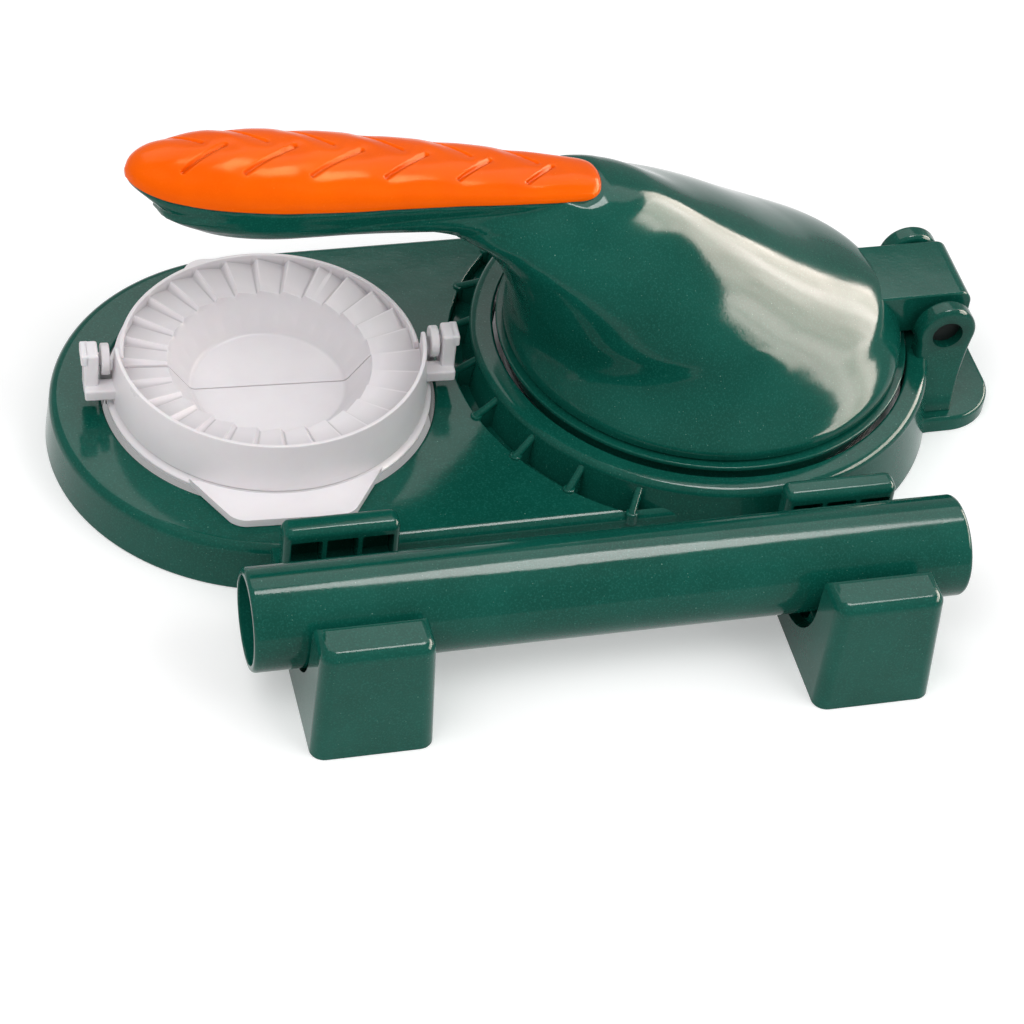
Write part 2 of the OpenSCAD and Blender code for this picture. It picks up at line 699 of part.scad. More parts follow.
// Section of a half, from its bowl out to its skirt. The edge points and the skirt's low end differ between the halves.
module mould_section(edge, low) {
    base = pleat_z - pleat_h - 0.4;
    polygon(concat(
        [[0, floor_z - 2], [floor_r + 0.9, floor_z - 2], [bowl_r + 1, base - 2], [mould_r - 1.6, base - 2],
        [mould_r + 0.4, skirt_low + 1], [body_r - 2, skirt_low - 1], [body_r - 2, low],
        [body_r, low], [body_r, skirt_low - 1.2], [mould_r + 2.4, skirt_low]],
        edge,
        [[bowl_r, base], [floor_r, floor_z], [0, floor_z]]
    ));
}

// Wing that rests on the plate, pointing along -Y.
module mould_wing() {
    translate([0, 0, plate_top + 0.2]) linear_extrude(wing_t) difference() {
        hull() {
            for (s = [-1, 1]) {
                translate([s * 27, -35]) circle(1.5, $fn = 32);
                translate([s * 13, -wing_tip + 6]) circle(6, $fn = 32);
            }
        }
        circle(body_r - 1);
    }
}

module mould_rear_half() {
    color(WHITE) translate([mould_x, 0, 0]) rotate([0, 0, mould_turn]) difference() {
        union() {
            rotate_extrude(angle = 180) mould_section([
                [mould_r + 1.6, fold_z - 5.4], [mould_r, fold_z - 4.4], [mould_r, fold_z - face_gap],
                [mould_r - 1.4, fold_z - face_gap], [mould_r - 1.4, pleat_z - pleat_h - 0.4]
            ], body_low);
            pleat_ring(0, mould_r - 1);
            mirror([0, 1, 0]) mould_wing();
            for (s = [-1, 1]) mirror([s > 0 ? 0 : 1, 0, 0]) {
                // Arm with its round end about the fold axis, on a low web.
                translate([arm_in, 0, fold_z]) rotate([0, 90, 0]) cylinder(arm_t, r = 4.5);
                translate([arm_in, 1.5, fold_z - 10.5]) cube([arm_t, 3, 10.5]);
                translate([mould_r - 1, 1.5, fold_z - 10.5]) cube([arm_in + arm_t - mould_r + 1, 4.5, 4.8]);
                translate([arm_in, 0, fold_z]) rotate([0, 90, 0]) cylinder(arm_t + 3.8, r = fold_pin_r, $fn = 48);
            }
        }
        translate([-arm_in + 0.2, -20, 0]) cube([2 * arm_in - 0.4, 20 + face_gap, 60]);
    }
}

module mould_front_half() {
    color(WHITE) translate([mould_x, 0, 0]) rotate([0, 0, mould_turn]) difference() {
        union() {
            rotate([0, 0, 180]) rotate_extrude(angle = 180) mould_section([
                [lip_r, lip_top], [lip_r - 1.3, lip_top], [lip_r - 1.3, pleat_z - pleat_h - 0.4]
            ], front_low);
            pleat_ring(180, mould_r);
            mould_wing();
            for (s = [-1, 1]) mirror([s > 0 ? 0 : 1, 0, 0]) {
                // Post with a small lip outside its top, and the bridge that carries it.
                translate([post_in, -4, post_low]) cube([post_t, 7, fold_z + 4.6 - post_low]);
                translate([post_in + post_t - 1, -4, fold_z + 1]) cube([1.8, 7, 3.6]);
                translate([mould_r + 0.8, -6.5, post_low]) cube([post_in + post_t - mould_r - 0.8, 5.5, 3.6]);
            }
        }
        translate([-arm_in + 0.2, -face_gap, 0]) cube([2 * arm_in - 0.4, 20, 60]);
        for (s = [-1, 1]) mirror([s > 0 ? 0 : 1, 0, 0])
            translate([post_in - 1, 0, fold_z]) rotate([0, 90, 0]) cylinder(4.4, r = fold_pin_r + run, $fn = 48);
    }
}

base_shell();
lower_press_plate();
lower_plate_screws();
hinge_pin();
lever_shell();
handle_grip();
grip_screws();
upper_press_plate();
rolling_pin();
mould_rear_half();
mould_front_half();
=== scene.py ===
import math

import bmesh
import bpy
import numpy as np
from mathutils import Matrix, Vector

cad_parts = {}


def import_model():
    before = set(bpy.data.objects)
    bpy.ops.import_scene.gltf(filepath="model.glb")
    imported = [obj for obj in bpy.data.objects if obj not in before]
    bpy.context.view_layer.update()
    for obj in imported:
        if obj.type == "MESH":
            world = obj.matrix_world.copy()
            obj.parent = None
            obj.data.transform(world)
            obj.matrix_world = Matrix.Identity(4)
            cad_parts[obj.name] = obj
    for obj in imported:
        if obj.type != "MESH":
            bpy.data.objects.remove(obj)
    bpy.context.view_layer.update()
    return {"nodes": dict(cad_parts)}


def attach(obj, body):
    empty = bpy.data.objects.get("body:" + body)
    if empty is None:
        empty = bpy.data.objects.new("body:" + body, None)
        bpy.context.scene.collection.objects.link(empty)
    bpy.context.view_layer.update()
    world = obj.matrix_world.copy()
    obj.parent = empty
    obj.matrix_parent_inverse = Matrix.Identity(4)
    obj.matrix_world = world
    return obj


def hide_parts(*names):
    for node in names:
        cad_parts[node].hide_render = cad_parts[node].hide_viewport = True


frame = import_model()

# Sizes of the part in millimetres, as its source has them.
PLATE_R = 63.5
PLATE_SHIFT = 2.0
PLATE_TOP = 15.0
PLATE_EDGE = 3.0
PLATE_DRAFT = 1.0
SKIN = 2.5
MOULD_X = -128.0
MOULD_R = 42.6
MOULD_TURN = -2.8
HOLE_R = 47.6
RIM_R = 59.5
BED_R = 61.0
CREST_R = 65.3
COLLAR_TOP = 22.5
COLLAR_FOOT_R = 70.3
MOAT_IN_R = 68.3
MOAT_OUT_R = 73.3
MOAT_FLOOR = 10.0
BED_FLOOR = 12.5
RIM_Z = 26.0
FLANGE_TOP = 25.0
UPPER_FACE = 16.6
SPIGOT_R = 55.4
HINGE_X = 69.0
HINGE_Z = 30.5
PIN_R = 4.6
RUN = 0.06
KNUCKLE_HALF = 12.0
KNUCKLE_R = 9.0
EAR_IN = 14.0
EAR_T = 6.0
EAR_R = 8.9
TONGUE_T = 5.0
TONGUE_END = 88.2
TONGUE_HALF = 28.5
CRADLE_X = -53.4
CRADLE_GAP = 138.0
CRADLE_HALF = 16.6
CRADLE_LEAN = math.tan(math.radians(2.2))
SHELF_Z = 14.5
NOTCH_HALF = 9.0
NOTCH_LIP = 0.4
SEAT_GAP = 0.15
ROLLER_LEN = 197.5
ROLLER_R = 14.0
ROLLER_WALL = 2.2
ROLLER_Y = -97.7
ROLLER_Z = SHELF_Z + math.sqrt((ROLLER_R + SEAT_GAP) ** 2 - (NOTCH_HALF + NOTCH_LIP) ** 2)
BLOCK_TOP = 37.0
BLOCK_BACK = -112.9
BLOCK_T = 12.6
TAB_TOP = 30.0
TAB_BACK = -65.9
TAB_T = 7.4
TAB_HALF = 16.1
POCKET_PITCH = 9.8
POCKET_W = 8.6
SADDLE_T = 3.6
SCREW_CIRCLE_R = 40.0
SCREW_HOLE_R = 4.2
SCREW_WELL_R = 3.7
FOLD_Z = 30.0
HANDLE_REACH = 170.0
GRIP_LEN = 132.0
HANDLE_HALF_W = 15.4
SEAM_Z = 92.0

# A millimetre in the scene's metres.
MM = 0.001


# Curves through points

def slope(p, i):
    """Slope of a smooth curve at one of its points."""
    if i == 0:
        return (p[1][1] - p[0][1]) / (p[1][0] - p[0][0])
    if i == len(p) - 1:
        return (p[i][1] - p[i - 1][1]) / (p[i][0] - p[i - 1][0])
    return (p[i + 1][1] - p[i - 1][1]) / (p[i + 1][0] - p[i - 1][0])


def curve(p, x):
    """Smooth curve through a list of (position, value) pairs."""
    if x <= p[0][0]:
        return p[0][1]
    if x >= p[-1][0]:
        return p[-1][1]
    i = max(k for k in range(len(p) - 1) if p[k][0] <= x)
    w = p[i + 1][0] - p[i][0]
    t = (x - p[i][0]) / w
    return (
        (2 * t ** 3 - 3 * t ** 2 + 1) * p[i][1]
        + (t ** 3 - 2 * t ** 2 + t) * w * slope(p, i)
        + (3 * t ** 2 - 2 * t ** 3) * p[i + 1][1]
        + (t ** 3 - t ** 2) * w * slope(p, i + 1)
    )


def arc(cx, cy, r, a0, a1, n):
    """Points on an arc, angles in degrees, both ends included."""
    angles = [math.radians(a0 + (a1 - a0) * i / n) for i in range(n + 1)]
    return [(cx + r * math.cos(a), cy + r * math.sin(a)) for a in angles]


def circle(cx, cy, r, n=48):
    """Points round a full circle."""
    return arc(cx, cy, r, 0, 360 - 360 / n, n - 1)


def polar(r, angle, z=0.0):
    """Point at a radius and an angle in degrees about Z."""
    a = math.radians(angle)
    return (r * math.cos(a), r * math.sin(a), z)


# Meshes

def tidy(bm):
    """Merges doubled points and turns the faces outwards."""
    bmesh.ops.remove_doubles(bm, verts=bm.verts, dist=1e-5)
    bmesh.ops.dissolve_degenerate(bm, dist=1e-6, edges=bm.edges)
    bmesh.ops.recalc_face_normals(bm, faces=bm.faces)


def shape(verts, faces):
    """Mesh of points and faces, with its faces turned outwards."""
    bm = bmesh.new()
    vs = [bm.verts.new(v) for v in verts]
    for f in faces:
        if len(set(f)) > 2:
            bm.faces.new([vs[i] for i in f])
    tidy(bm)
    return bm


def rings(loops, closed=False):
    """Faces through rings with the same number of points, capped at both ends unless closed."""
    n = len(loops[0])
    m = len(loops)
    verts = [p for loop in loops for p in loop]
    faces = []
    for j in range(m if closed else m - 1):
        a = j * n
        b = ((j + 1) % m) * n
        for i in range(n):
            k = (i + 1) % n
            faces.append((a + i, b + i, b + k, a + k))
    if not closed:
        faces.append(tuple(range(n)))
        faces.append(tuple((m - 1) * n + i for i in range(n)))
    return shape(verts, faces)


def turned(profile, n=192):
    """Solid of revolution about Z from a closed profile of (radius, height) points."""
    loops = []
    for k in range(n):
        a = 2 * math.pi * k / n
        loops.append([(r * math.cos(a), r * math.sin(a), z) for r, z in profile])
    return rings(loops, closed=True)


def cylinder(r, low, high, n=128):
    """Solid cylinder about Z."""
    return turned([(0, low), (r, low), (r, high), (0, high)], n)


def prism(outline, lo, hi, axis):
    """Bar of an outline along an axis. The outline is given in the two other axes, in their order."""
    def place(p, t):
        return {"x": (t, p[0], p[1]), "y": (p[0], t, p[1]), "z": (p[0], p[1], t)}[axis]
    return rings([[place(p, lo) for p in outline], [place(p, hi) for p in outline]])


def box(x0, x1, y0, y1, z0, z1):
    return prism([(x0, y0), (x1, y0), (x1, y1), (x0, y1)], z0, z1, "z")


def bevel(bm, r, n=4, pick=None, angle=40):
    """Rounds the sharp edges of a mesh, or those for which pick says yes."""
    edges = [
        e for e in bm.edges
        if len(e.link_faces) == 2
        and e.calc_face_angle(0) > math.radians(angle)
        and (pick is None or pick(e.verts[0].co, e.verts[1].co))
    ]
    bmesh.ops.bevel(bm, geom=edges, offset=r, segments=n, profile=0.5, affect="EDGES", clamp_overlap=True)
    tidy(bm)
    return bm


def move(bm, offset=(0, 0, 0), turn=0.0):
    """Turns a mesh about Z, in degrees, and then shifts it."""
    bm.transform(Matrix.Translation(Vector(offset)) @ Matrix.Rotation(math.radians(turn), 4, "Z"))
    return bm


def mirrored(bm, x=1, y=1):
    """Mirrors a mesh. A few of the shells come out with their faces turned inwards."""
    bm.transform(Matrix.Diagonal((x, y, 1, 1)))
    bmesh.ops.recalc_face_normals(bm, faces=bm.faces)
    return bm


def as_object(bm, name):
    mesh = bpy.data.meshes.new(name)
    bm.to_mesh(mesh)
    bm.free()
    ob = bpy.data.objects.new(name, mesh)
    bpy.context.scene.collection.objects.link(ob)
    return ob


def settle(ob):
    """Applies an object's modifiers to its mesh."""
    graph = bpy.context.evaluated_depsgraph_get()
    mesh = bpy.data.meshes.new_from_object(ob.evaluated_get(graph))
    old = ob.data
    ob.modifiers.clear()
    ob.data = mesh
    bpy.data.meshes.remove(old)


def to_bmesh(ob):
    bm = bmesh.new()
    bm.from_mesh(ob.data)
    old = ob.data
    bpy.data.objects.remove(ob)
    bpy.data.meshes.remove(old)
    return bm


def boolean(bm, tools, operation="DIFFERENCE"):
    """Cuts tools out of a mesh, or adds them to it."""
    ob = as_object(bm, "work")
    helpers = []
    for tool in tools:
        helper = as_object(tool, "tool")
        helpers.append(helper)
        mod = ob.modifiers.new("cut", "BOOLEAN")
        mod.operation = operation
        mod.solver = "EXACT"
        mod.object = helper
    settle(ob)
    for helper in helpers:
        mesh = helper.data
        bpy.data.objects.remove(helper)
        bpy.data.meshes.remove(mesh)
    return to_bmesh(ob)


def joined(parts):
    """One mesh of several closed shells."""
    out = bmesh.new()
    for part in parts:
        mesh = bpy.data.meshes.new("part")
        part.to_mesh(mesh)
        part.free()
        out.from_mesh(mesh)
        bpy.data.meshes.remove(mesh)
    return out


def piece(bm, name, material, slot, body, nodes, angle=32):
    """Puts a finished mesh in the scene, in metres, as a piece that stands for CAD nodes."""
    bmesh.ops.scale(bm, vec=(MM, MM, MM), verts=bm.verts)
    ob = as_object(bm, name)
    ob.data.materials.clear()
    ob.data.materials.append(material)
    ob.data.polygons.foreach_set("use_smooth", [True] * len(ob.data.polygons))
    ob.data.set_sharp_from_angle(angle=math.radians(angle))
    mod = ob.modifiers.new("normals", "WEIGHTED_NORMAL")
    mod.keep_sharp = True
    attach(ob, body)
    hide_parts(*nodes)


# Materials

# Sizes of the patterns in a plastic, in features per metre.
CLOUDS = 38
SMUDGES = 24
WEAR = 160
GRAIN = 1900
SMALL_FLECKS = 900
LARGE_FLECKS = 330
PEEL = 70
FINE_PEEL = 900


def new_material(name):
    mat = bpy.data.materials.new(name)
    mat.use_nodes = True
    tree = mat.node_tree
    shader = tree.nodes["Principled BSDF"]
    coord = tree.nodes.new("ShaderNodeTexCoord")
    return mat, tree, shader, coord.outputs["Object"]


def noise(tree, where, scale, detail=2.0, rough=0.5):
    node = tree.nodes.new("ShaderNodeTexNoise")
    node.inputs["Scale"].default_value = scale
    node.inputs["Detail"].default_value = detail
    node.inputs["Roughness"].default_value = rough
    tree.links.new(where, node.inputs["Vector"])
    return node.outputs["Fac"]


def ramp(tree, value, stops):
    node = tree.nodes.new("ShaderNodeValToRGB")
    items = node.color_ramp.elements
    while len(items) > 1:
        items.remove(items[-1])
    items[0].position = stops[0][0]
    items[0].color = (*stops[0][1], 1)
    for pos, col in stops[1:]:
        item = items.new(pos)
        item.color = (*col, 1)
    tree.links.new(value, node.inputs["Fac"])
    return node.outputs["Color"]


def mix(tree, factor, a, b):
    node = tree.nodes.new("ShaderNodeMix")
    node.data_type = "RGBA"
    for socket, value in ((node.inputs[0], factor), (node.inputs[6], a), (node.inputs[7], b)):
        if isinstance(value, (int, float)):
            socket.default_value = value
        elif isinstance(value, tuple):
            socket.default_value = (*value, 1)
        else:
            tree.links.new(value, socket)
    return node.outputs[2]


def maths(tree, operation, a, b):
    node = tree.nodes.new("ShaderNodeMath")
    node.operation = operation
    for socket, value in ((node.inputs[0], a), (node.inputs[1], b)):
        if isinstance(value, (int, float)):
            socket.default_value = value
        else:
            tree.links.new(value, socket)
    return node.outputs[0]


def map_range(tree, value, a, b, c, d):
    node = tree.nodes.new("ShaderNodeMapRange")
    tree.links.new(value, node.inputs["Value"])
    for key, v in (("From Min", a), ("From Max", b), ("To Min", c), ("To Max", d)):
        node.inputs[key].default_value = v
    return node.outputs["Result"]


def specks(tree, where, scale, size, share):
    """Small round flecks: one in some of the cells of a Voronoi pattern."""
    node = tree.nodes.new("ShaderNodeTexVoronoi")
    node.inputs["Scale"].default_value = scale
    tree.links.new(where, node.inputs["Vector"])
    dot = map_range(tree, node.outputs["Distance"], size * 0.55, size, 1.0, 0.0)
    split = tree.nodes.new("ShaderNodeSeparateColor")
    tree.links.new(node.outputs["Color"], split.inputs[0])
    chosen = maths(tree, "LESS_THAN", split.outputs[0], share)
    return maths(tree, "MULTIPLY", dot, chosen)


def bump(tree, height, strength, distance, below=None):
    node = tree.nodes.new("ShaderNodeBump")
    node.inputs["Strength"].default_value = strength
    node.inputs["Distance"].default_value = distance
    tree.links.new(height, node.inputs["Height"])
    if below is not None:
        tree.links.new(below, node.inputs["Normal"])
    return node.outputs["Normal"]


def edge_mask(tree, low, high):
    """1 on convex edges or in creases, from the mesh's own pointiness."""
    node = tree.nodes.new("ShaderNodeNewGeometry")
    return map_range(tree, node.outputs["Pointiness"], low, high, 0.0, 1.0)


def plastic(name, colour, deep, light, rough, speck, peel=0.5, flecks=1.0, edge=0.35, level=0.3):
    """Moulded plastic: cloudy and flecked, with worn edges, painted shade in its creases, smudges and a faint
    orange peel.
    """
    mat, tree, shader, where = new_material(name)
    shader.inputs["Specular IOR Level"].default_value = level
    # Painted shade: half the dark tone, for the creases and hollows where shade falls.
    crease_shade_colour = tuple(c * 0.5 for c in deep)
    cloud = noise(tree, where, CLOUDS, 4, 0.6)
    base = ramp(tree, cloud, [(0.34, deep), (0.66, colour)])
    grain = noise(tree, where, GRAIN, 2, 0.6)
    base = mix(tree, map_range(tree, grain, 0.5, 0.78, 0.0, 0.8 * flecks), base, light)
    small = specks(tree, where, SMALL_FLECKS, 0.16, 0.14 * flecks)
    large = specks(tree, where, LARGE_FLECKS, 0.075, 0.12 * flecks)
    base = mix(tree, maths(tree, "MULTIPLY", small, 0.4), base, speck)
    base = mix(tree, maths(tree, "MULTIPLY", large, 0.6), base, speck)
    worn = maths(tree, "MULTIPLY", edge_mask(tree, 0.505, 0.56), noise(tree, where, WEAR, 3, 0.6))
    base = mix(tree, maths(tree, "MULTIPLY", worn, edge), base, light)
    # Painted shade: concave spots such as creases, grooves and the pleats' drops are darkened as if shaded.
    crease_shade_mask = edge_mask(tree, 0.49, 0.44)
    base = mix(tree, maths(tree, "MULTIPLY", crease_shade_mask, 0.55), base, crease_shade_colour)
    tree.links.new(base, shader.inputs["Base Color"])
    smudge = noise(tree, where, SMUDGES, 5, 0.65)
    smudged = map_range(tree, smudge, 0.3, 0.75, rough * 0.75, rough * 1.5)
    tree.links.new(smudged, shader.inputs["Roughness"])
    fine = bump(tree, noise(tree, where, FINE_PEEL, 2, 0.5), 0.1 * peel, 0.0002)
    wavy = bump(tree, noise(tree, where, PEEL, 2, 0.4), 0.22 * peel, 0.0006, fine)
    tree.links.new(wavy, shader.inputs["Normal"])
    return mat


def metal(name, colour, rough):
    """Brushed metal with fine scratches along X."""
    mat, tree, shader, where = new_material(name)
    shader.inputs["Metallic"].default_value = 1.0
    stretch = tree.nodes.new("ShaderNodeMapping")
    stretch.inputs["Scale"].default_value = (40, 1800, 1800)
    tree.links.new(where, stretch.inputs["Vector"])
    lines = noise(tree, stretch.outputs["Vector"], 1.0, 3, 0.6)
    base = mix(tree, lines, tuple(c * 0.8 for c in colour), colour)
    tree.links.new(base, shader.inputs["Base Color"])
    tree.links.new(map_range(tree, lines, 0.3, 0.7, rough * 0.8, rough * 1.3), shader.inputs["Roughness"])
    tree.links.new(bump(tree, lines, 0.15, 0.0001), shader.inputs["Normal"])
    return mat


def green_plastic():
    return plastic(
        "green_plastic",
        colour=(0.0035, 0.079, 0.057),
        deep=(0.0025, 0.061, 0.043),
        light=(0.012, 0.125, 0.095),
        speck=(0.14, 0.34, 0.27),
        rough=0.1,
        level=0.17,
    )


def orange_plastic():
    mat = plastic(
        "orange_plastic",
        colour=(0.93, 0.12, 0.001),
        deep=(0.87, 0.1, 0.001),
        light=(1.0, 0.19, 0.008),
        speck=(1.0, 0.3, 0.05),
        rough=0.15,
        peel=0.7,
        flecks=0.2,
        level=0.14,
    )
    mat.node_tree.nodes["Principled BSDF"].inputs["Specular Tint"].default_value = (1, 0.62, 0.22, 1)
    return mat


def white_plastic():
    """Slightly translucent."""
    mat = plastic(
        "white_plastic",
        colour=(0.81, 0.775, 0.795),
        deep=(0.77, 0.73, 0.755),
        light=(0.86, 0.84, 0.85),
        speck=(0.70, 0.66, 0.66),
        rough=0.34,
        peel=0.6,
        flecks=0.12,
        edge=0.5,
        level=0.2,
    )
    shader = mat.node_tree.nodes["Principled BSDF"]
    shader.inputs["Subsurface Weight"].default_value = 0.08
    shader.inputs["Subsurface Scale"].default_value = 0.002
    return mat


# Near-black pin: its ends show deep in the ears' bores, and the colour is painted shade of these deep holes.
def pin_shade_plastic():
    return plastic(
        "black_pin",
        colour=(0.008, 0.011, 0.010),
        deep=(0.006, 0.008, 0.007),
        light=(0.02, 0.03, 0.03),
        speck=(0.04, 0.05, 0.05),
        rough=0.5,
        flecks=0.3,
        level=0.15,
    )


GREEN = green_plastic()
ORANGE = orange_plastic()
WHITE = white_plastic()
PIN_SHADE_BLACK = pin_shade_plastic()
STEEL = metal("steel", (0.4, 0.41, 0.42), 0.38)


# Base

def stadium(inset, z, n=96, right=2.0):
    """Outline of the plate at a height: round at its left end, straight as far as the collar."""
    r = PLATE_R - inset
    near, far = -r - PLATE_SHIFT, r - PLATE_SHIFT
    pts = [(MOULD_X + x, y - PLATE_SHIFT) for x, y in arc(0, 0, r, 90, 270, n)]
    pts += [(right - 60, near), (right, near), (right, far), (right - 60, far)]
    return [(x, y, z) for x, y in pts]


def plate_hollow():
    """Space under the plate. Walls round the mould's hole and the moat are left out of it."""
    under = PLATE_TOP - SKIN
    steps = [(SKIN, -1.0), (SKIN + 0.9, under - 0.8), (SKIN + 1.7, under)]
    hollow = rings([stadium(i, z, 64, right=1.0) for i, z in steps])
    well = move(cylinder(HOLE_R + SKIN, -3, 40, 96), (MOULD_X, 0, 0))
    trough = cylinder(MOAT_OUT_R + SKIN, MOAT_FLOOR - SKIN, 40)
    return boolean(hollow, [well, trough])


def mould_hole():
    lip = 0.9
    hole = [(0, -2), (HOLE_R + 0.6, -2), (HOLE_R + 0.6, 0), (HOLE_R, 0.6), (HOLE_R, PLATE_TOP - lip)]
    hole += [(HOLE_R + lip - x, PLATE_TOP - lip + y) for x, y in arc(0, 0, lip, 15, 90, 5)]
    hole += [(HOLE_R + lip, PLATE_TOP + 1), (0, PLATE_TOP + 1)]
    return move(turned(hole, 160), (MOULD_X, 0, 0))


def moat():
    """Sunken ring round the collar, as far as it lies in the plate."""
    fillet, brim = 0.8, 0.7
    outline = [(MOAT_IN_R - 4, PLATE_TOP + 1), (MOAT_IN_R - 4, MOAT_FLOOR), (MOAT_OUT_R - 0.9, MOAT_FLOOR)]
    outline += arc(MOAT_OUT_R - fillet, MOAT_FLOOR + fillet, fillet, -90, 0, 4)
    outline += [(MOAT_OUT_R + brim - x, PLATE_TOP - brim + y) for x, y in arc(0, 0, brim, 0, 90, 5)]
    outline += [(MOAT_OUT_R + brim, PLATE_TOP + 1)]
    reach = box(-120, 0, -PLATE_R - PLATE_SHIFT + 3, PLATE_R - PLATE_SHIFT - 3, 0, 60)
    return boolean(turned(outline, 220), [reach], "INTERSECT")


def base_plate():
    edge_z = PLATE_TOP - PLATE_EDGE
    steps = [(0.45, 0.0), (0.12, 0.12), (0.0, 0.45), (PLATE_DRAFT, edge_z)]
    steps += [(PLATE_DRAFT + PLATE_EDGE - y, edge_z + z) for y, z in arc(0, 0, PLATE_EDGE, 10, 90, 9)]
    outer = rings([stadium(i, z) for i, z in steps])
    middle = cylinder(MOAT_IN_R - 3.5, -3, 40)
    return boolean(outer, [plate_hollow(), mould_hole(), moat(), middle])


def base_collar():
    """Round wall and floor of the press bed."""
    crest, brim = 2.5, 0.8
    foot_in = COLLAR_FOOT_R - 2 * SKIN
    wall = [(COLLAR_FOOT_R - 0.3, 0), (COLLAR_FOOT_R, 0.3), (CREST_R + 2.45, COLLAR_TOP - 3.0)]
    wall += arc(CREST_R, COLLAR_TOP - crest, crest, 8, 90, 10)
    wall += [(BED_R + 0.9, COLLAR_TOP - 0.05)]
    wall += [(BED_R + brim - x, COLLAR_TOP - 0.85 + y) for x, y in arc(0, 0, brim, 90, 0, 5)]
    wall += [(BED_R, BED_FLOOR + 0.5), (BED_R - 0.5, BED_FLOOR), (0, BED_FLOOR), (0, BED_FLOOR - SKIN)]
    wall += [(foot_in, BED_FLOOR - SKIN), (foot_in, 0.3), (COLLAR_FOOT_R - 4.7, 0)]
    relief = arc(HINGE_X, HINGE_Z, KNUCKLE_R + 0.8, 0, 357, 63)
    cuts = [prism(relief, -KNUCKLE_HALF - 1, KNUCKLE_HALF + 1, "y")]
    for k in range(4):
        screw_hole = prism(circle(0, 0, SCREW_HOLE_R, 24), 0, 20, "z")
        cuts.append(move(screw_hole, polar(SCREW_CIRCLE_R, 45 + 90 * k)))
    return boolean(turned(wall, 256), cuts)


def rib_bead(foot_r):
    """Round bead along a rib's sloping edge, thicker towards its foot."""
    top = Vector((CREST_R + 0.6, 0, COLLAR_TOP - 2.6))
    foot = Vector((foot_r, 0, PLATE_TOP))
    way = (foot - top).normalized()
    side = Vector((0, 1, 0))
    up = side.cross(way)
    turns = [2 * math.pi * i / 20 for i in range(20)]
    loops = []
    for t, r in ((0.0, 0.9), (0.08, 1.1), (0.85, 1.15), (1.0, 1.3), (1.12, 1.1), (1.2, 0.5)):
        c = top.lerp(foot, t)
        loops.append([tuple(c + r * (side * math.cos(b) + up * math.sin(b))) for b in turns])
    return rings(loops)


def base_ribs():
    """Ribs that brace the collar across the moat, each with a round foot on the plate."""
    foot_r = MOAT_OUT_R + 0.4
    outline = [(CREST_R, MOAT_FLOOR - 1), (foot_r, MOAT_FLOOR - 1), (foot_r, PLATE_TOP)]
    outline += [(CREST_R + 1.5, COLLAR_TOP - 3), (CREST_R, COLLAR_TOP - 3)]
    foot = [(0, PLATE_TOP - 3), (1.75, PLATE_TOP - 3), (1.75, PLATE_TOP + 0.2)]
    foot += [*arc(1.25, PLATE_TOP + 0.2, 0.5, 0, 90, 4), (0, PLATE_TOP + 0.7)]
    parts = []
    for k in range(9):
        a = 120 + 15 * k
        parts.append(move(prism(outline, -0.8, 0.8, "y"), turn=a))
        parts.append(move(rib_bead(foot_r), turn=a))
        parts.append(move(turned(foot, 28), polar(foot_r, a)))
    return joined(parts)


def leaning(bm):
    """Leans the two sides of a cradle in, by the same slope at every height."""
    for v in bm.verts:
        v.co.x -= math.copysign(max(v.co.z, 0) * CRADLE_LEAN, v.co.x)
    return bm


def cradle_walls(back, saddle_r):
    """Side walls, shelf and block in one form, with the saddle that the pin drops into."""
    front = back - BLOCK_T
    root = -PLATE_R + 6
    dip = math.degrees(math.asin((ROLLER_Z - SHELF_Z) / saddle_r))
    outline = [(ROLLER_Y - 1, 0), (root, 0), (root, SHELF_Z)]
    outline += arc(ROLLER_Y, ROLLER_Z, saddle_r, -dip, -180, 40)
    outline += [(back, BLOCK_TOP), (front, BLOCK_TOP), (front - 1.6, 0)]
    bm = leaning(prism(outline, -CRADLE_HALF, CRADLE_HALF, "x"))
    bm = bevel(bm, 4.0, 8, pick=lambda a, b: max(a.y, b.y) < front + 0.1 and abs(a.x - b.x) < 3)
    bm = bevel(bm, 3.0, 7, pick=lambda a, b: min(a.z, b.z) > BLOCK_TOP - 0.1)
    bm = bevel(bm, 1.4, 4, pick=lambda a, b: max(a.z, b.z) < 0.1 and max(a.y, b.y) < ROLLER_Y)
    return bevel(bm, 0.9, 4, angle=60, pick=lambda a, b: on_saddle(a, b, back))


def on_saddle(a, b, back):
    """Edges of the side walls along the saddle."""
    out = min(abs(a.x), abs(b.x)) > CRADLE_HALF - 1.5 and abs(a.x - b.x) < 1.0
    return out and min(a.z, b.z) > 3 and back + 0.1 < min(a.y, b.y) and max(a.z, b.z) < ROLLER_Z


def cradle_tab(back, aside):
    """Upright tab beside the plate, with three pockets in its front."""
    front = back - TAB_T
    wall = box(-TAB_HALF, TAB_HALF, front, back, 5, TAB_TOP)
    wall = bevel(wall, 2.4, 6, pick=lambda a, b: max(a.z, b.z) > 6)
    pockets = []
    for i in (-1, 0, 1):
        x0 = i * POCKET_PITCH - POCKET_W / 2
        pocket = box(x0, x0 + POCKET_W, front - 3, back - 1.4, PLATE_TOP + 1.0, TAB_TOP - 3.6)
        pockets.append(bevel(pocket, 0.5, 2))
    return move(boolean(wall, pockets), (aside, 0, 0))


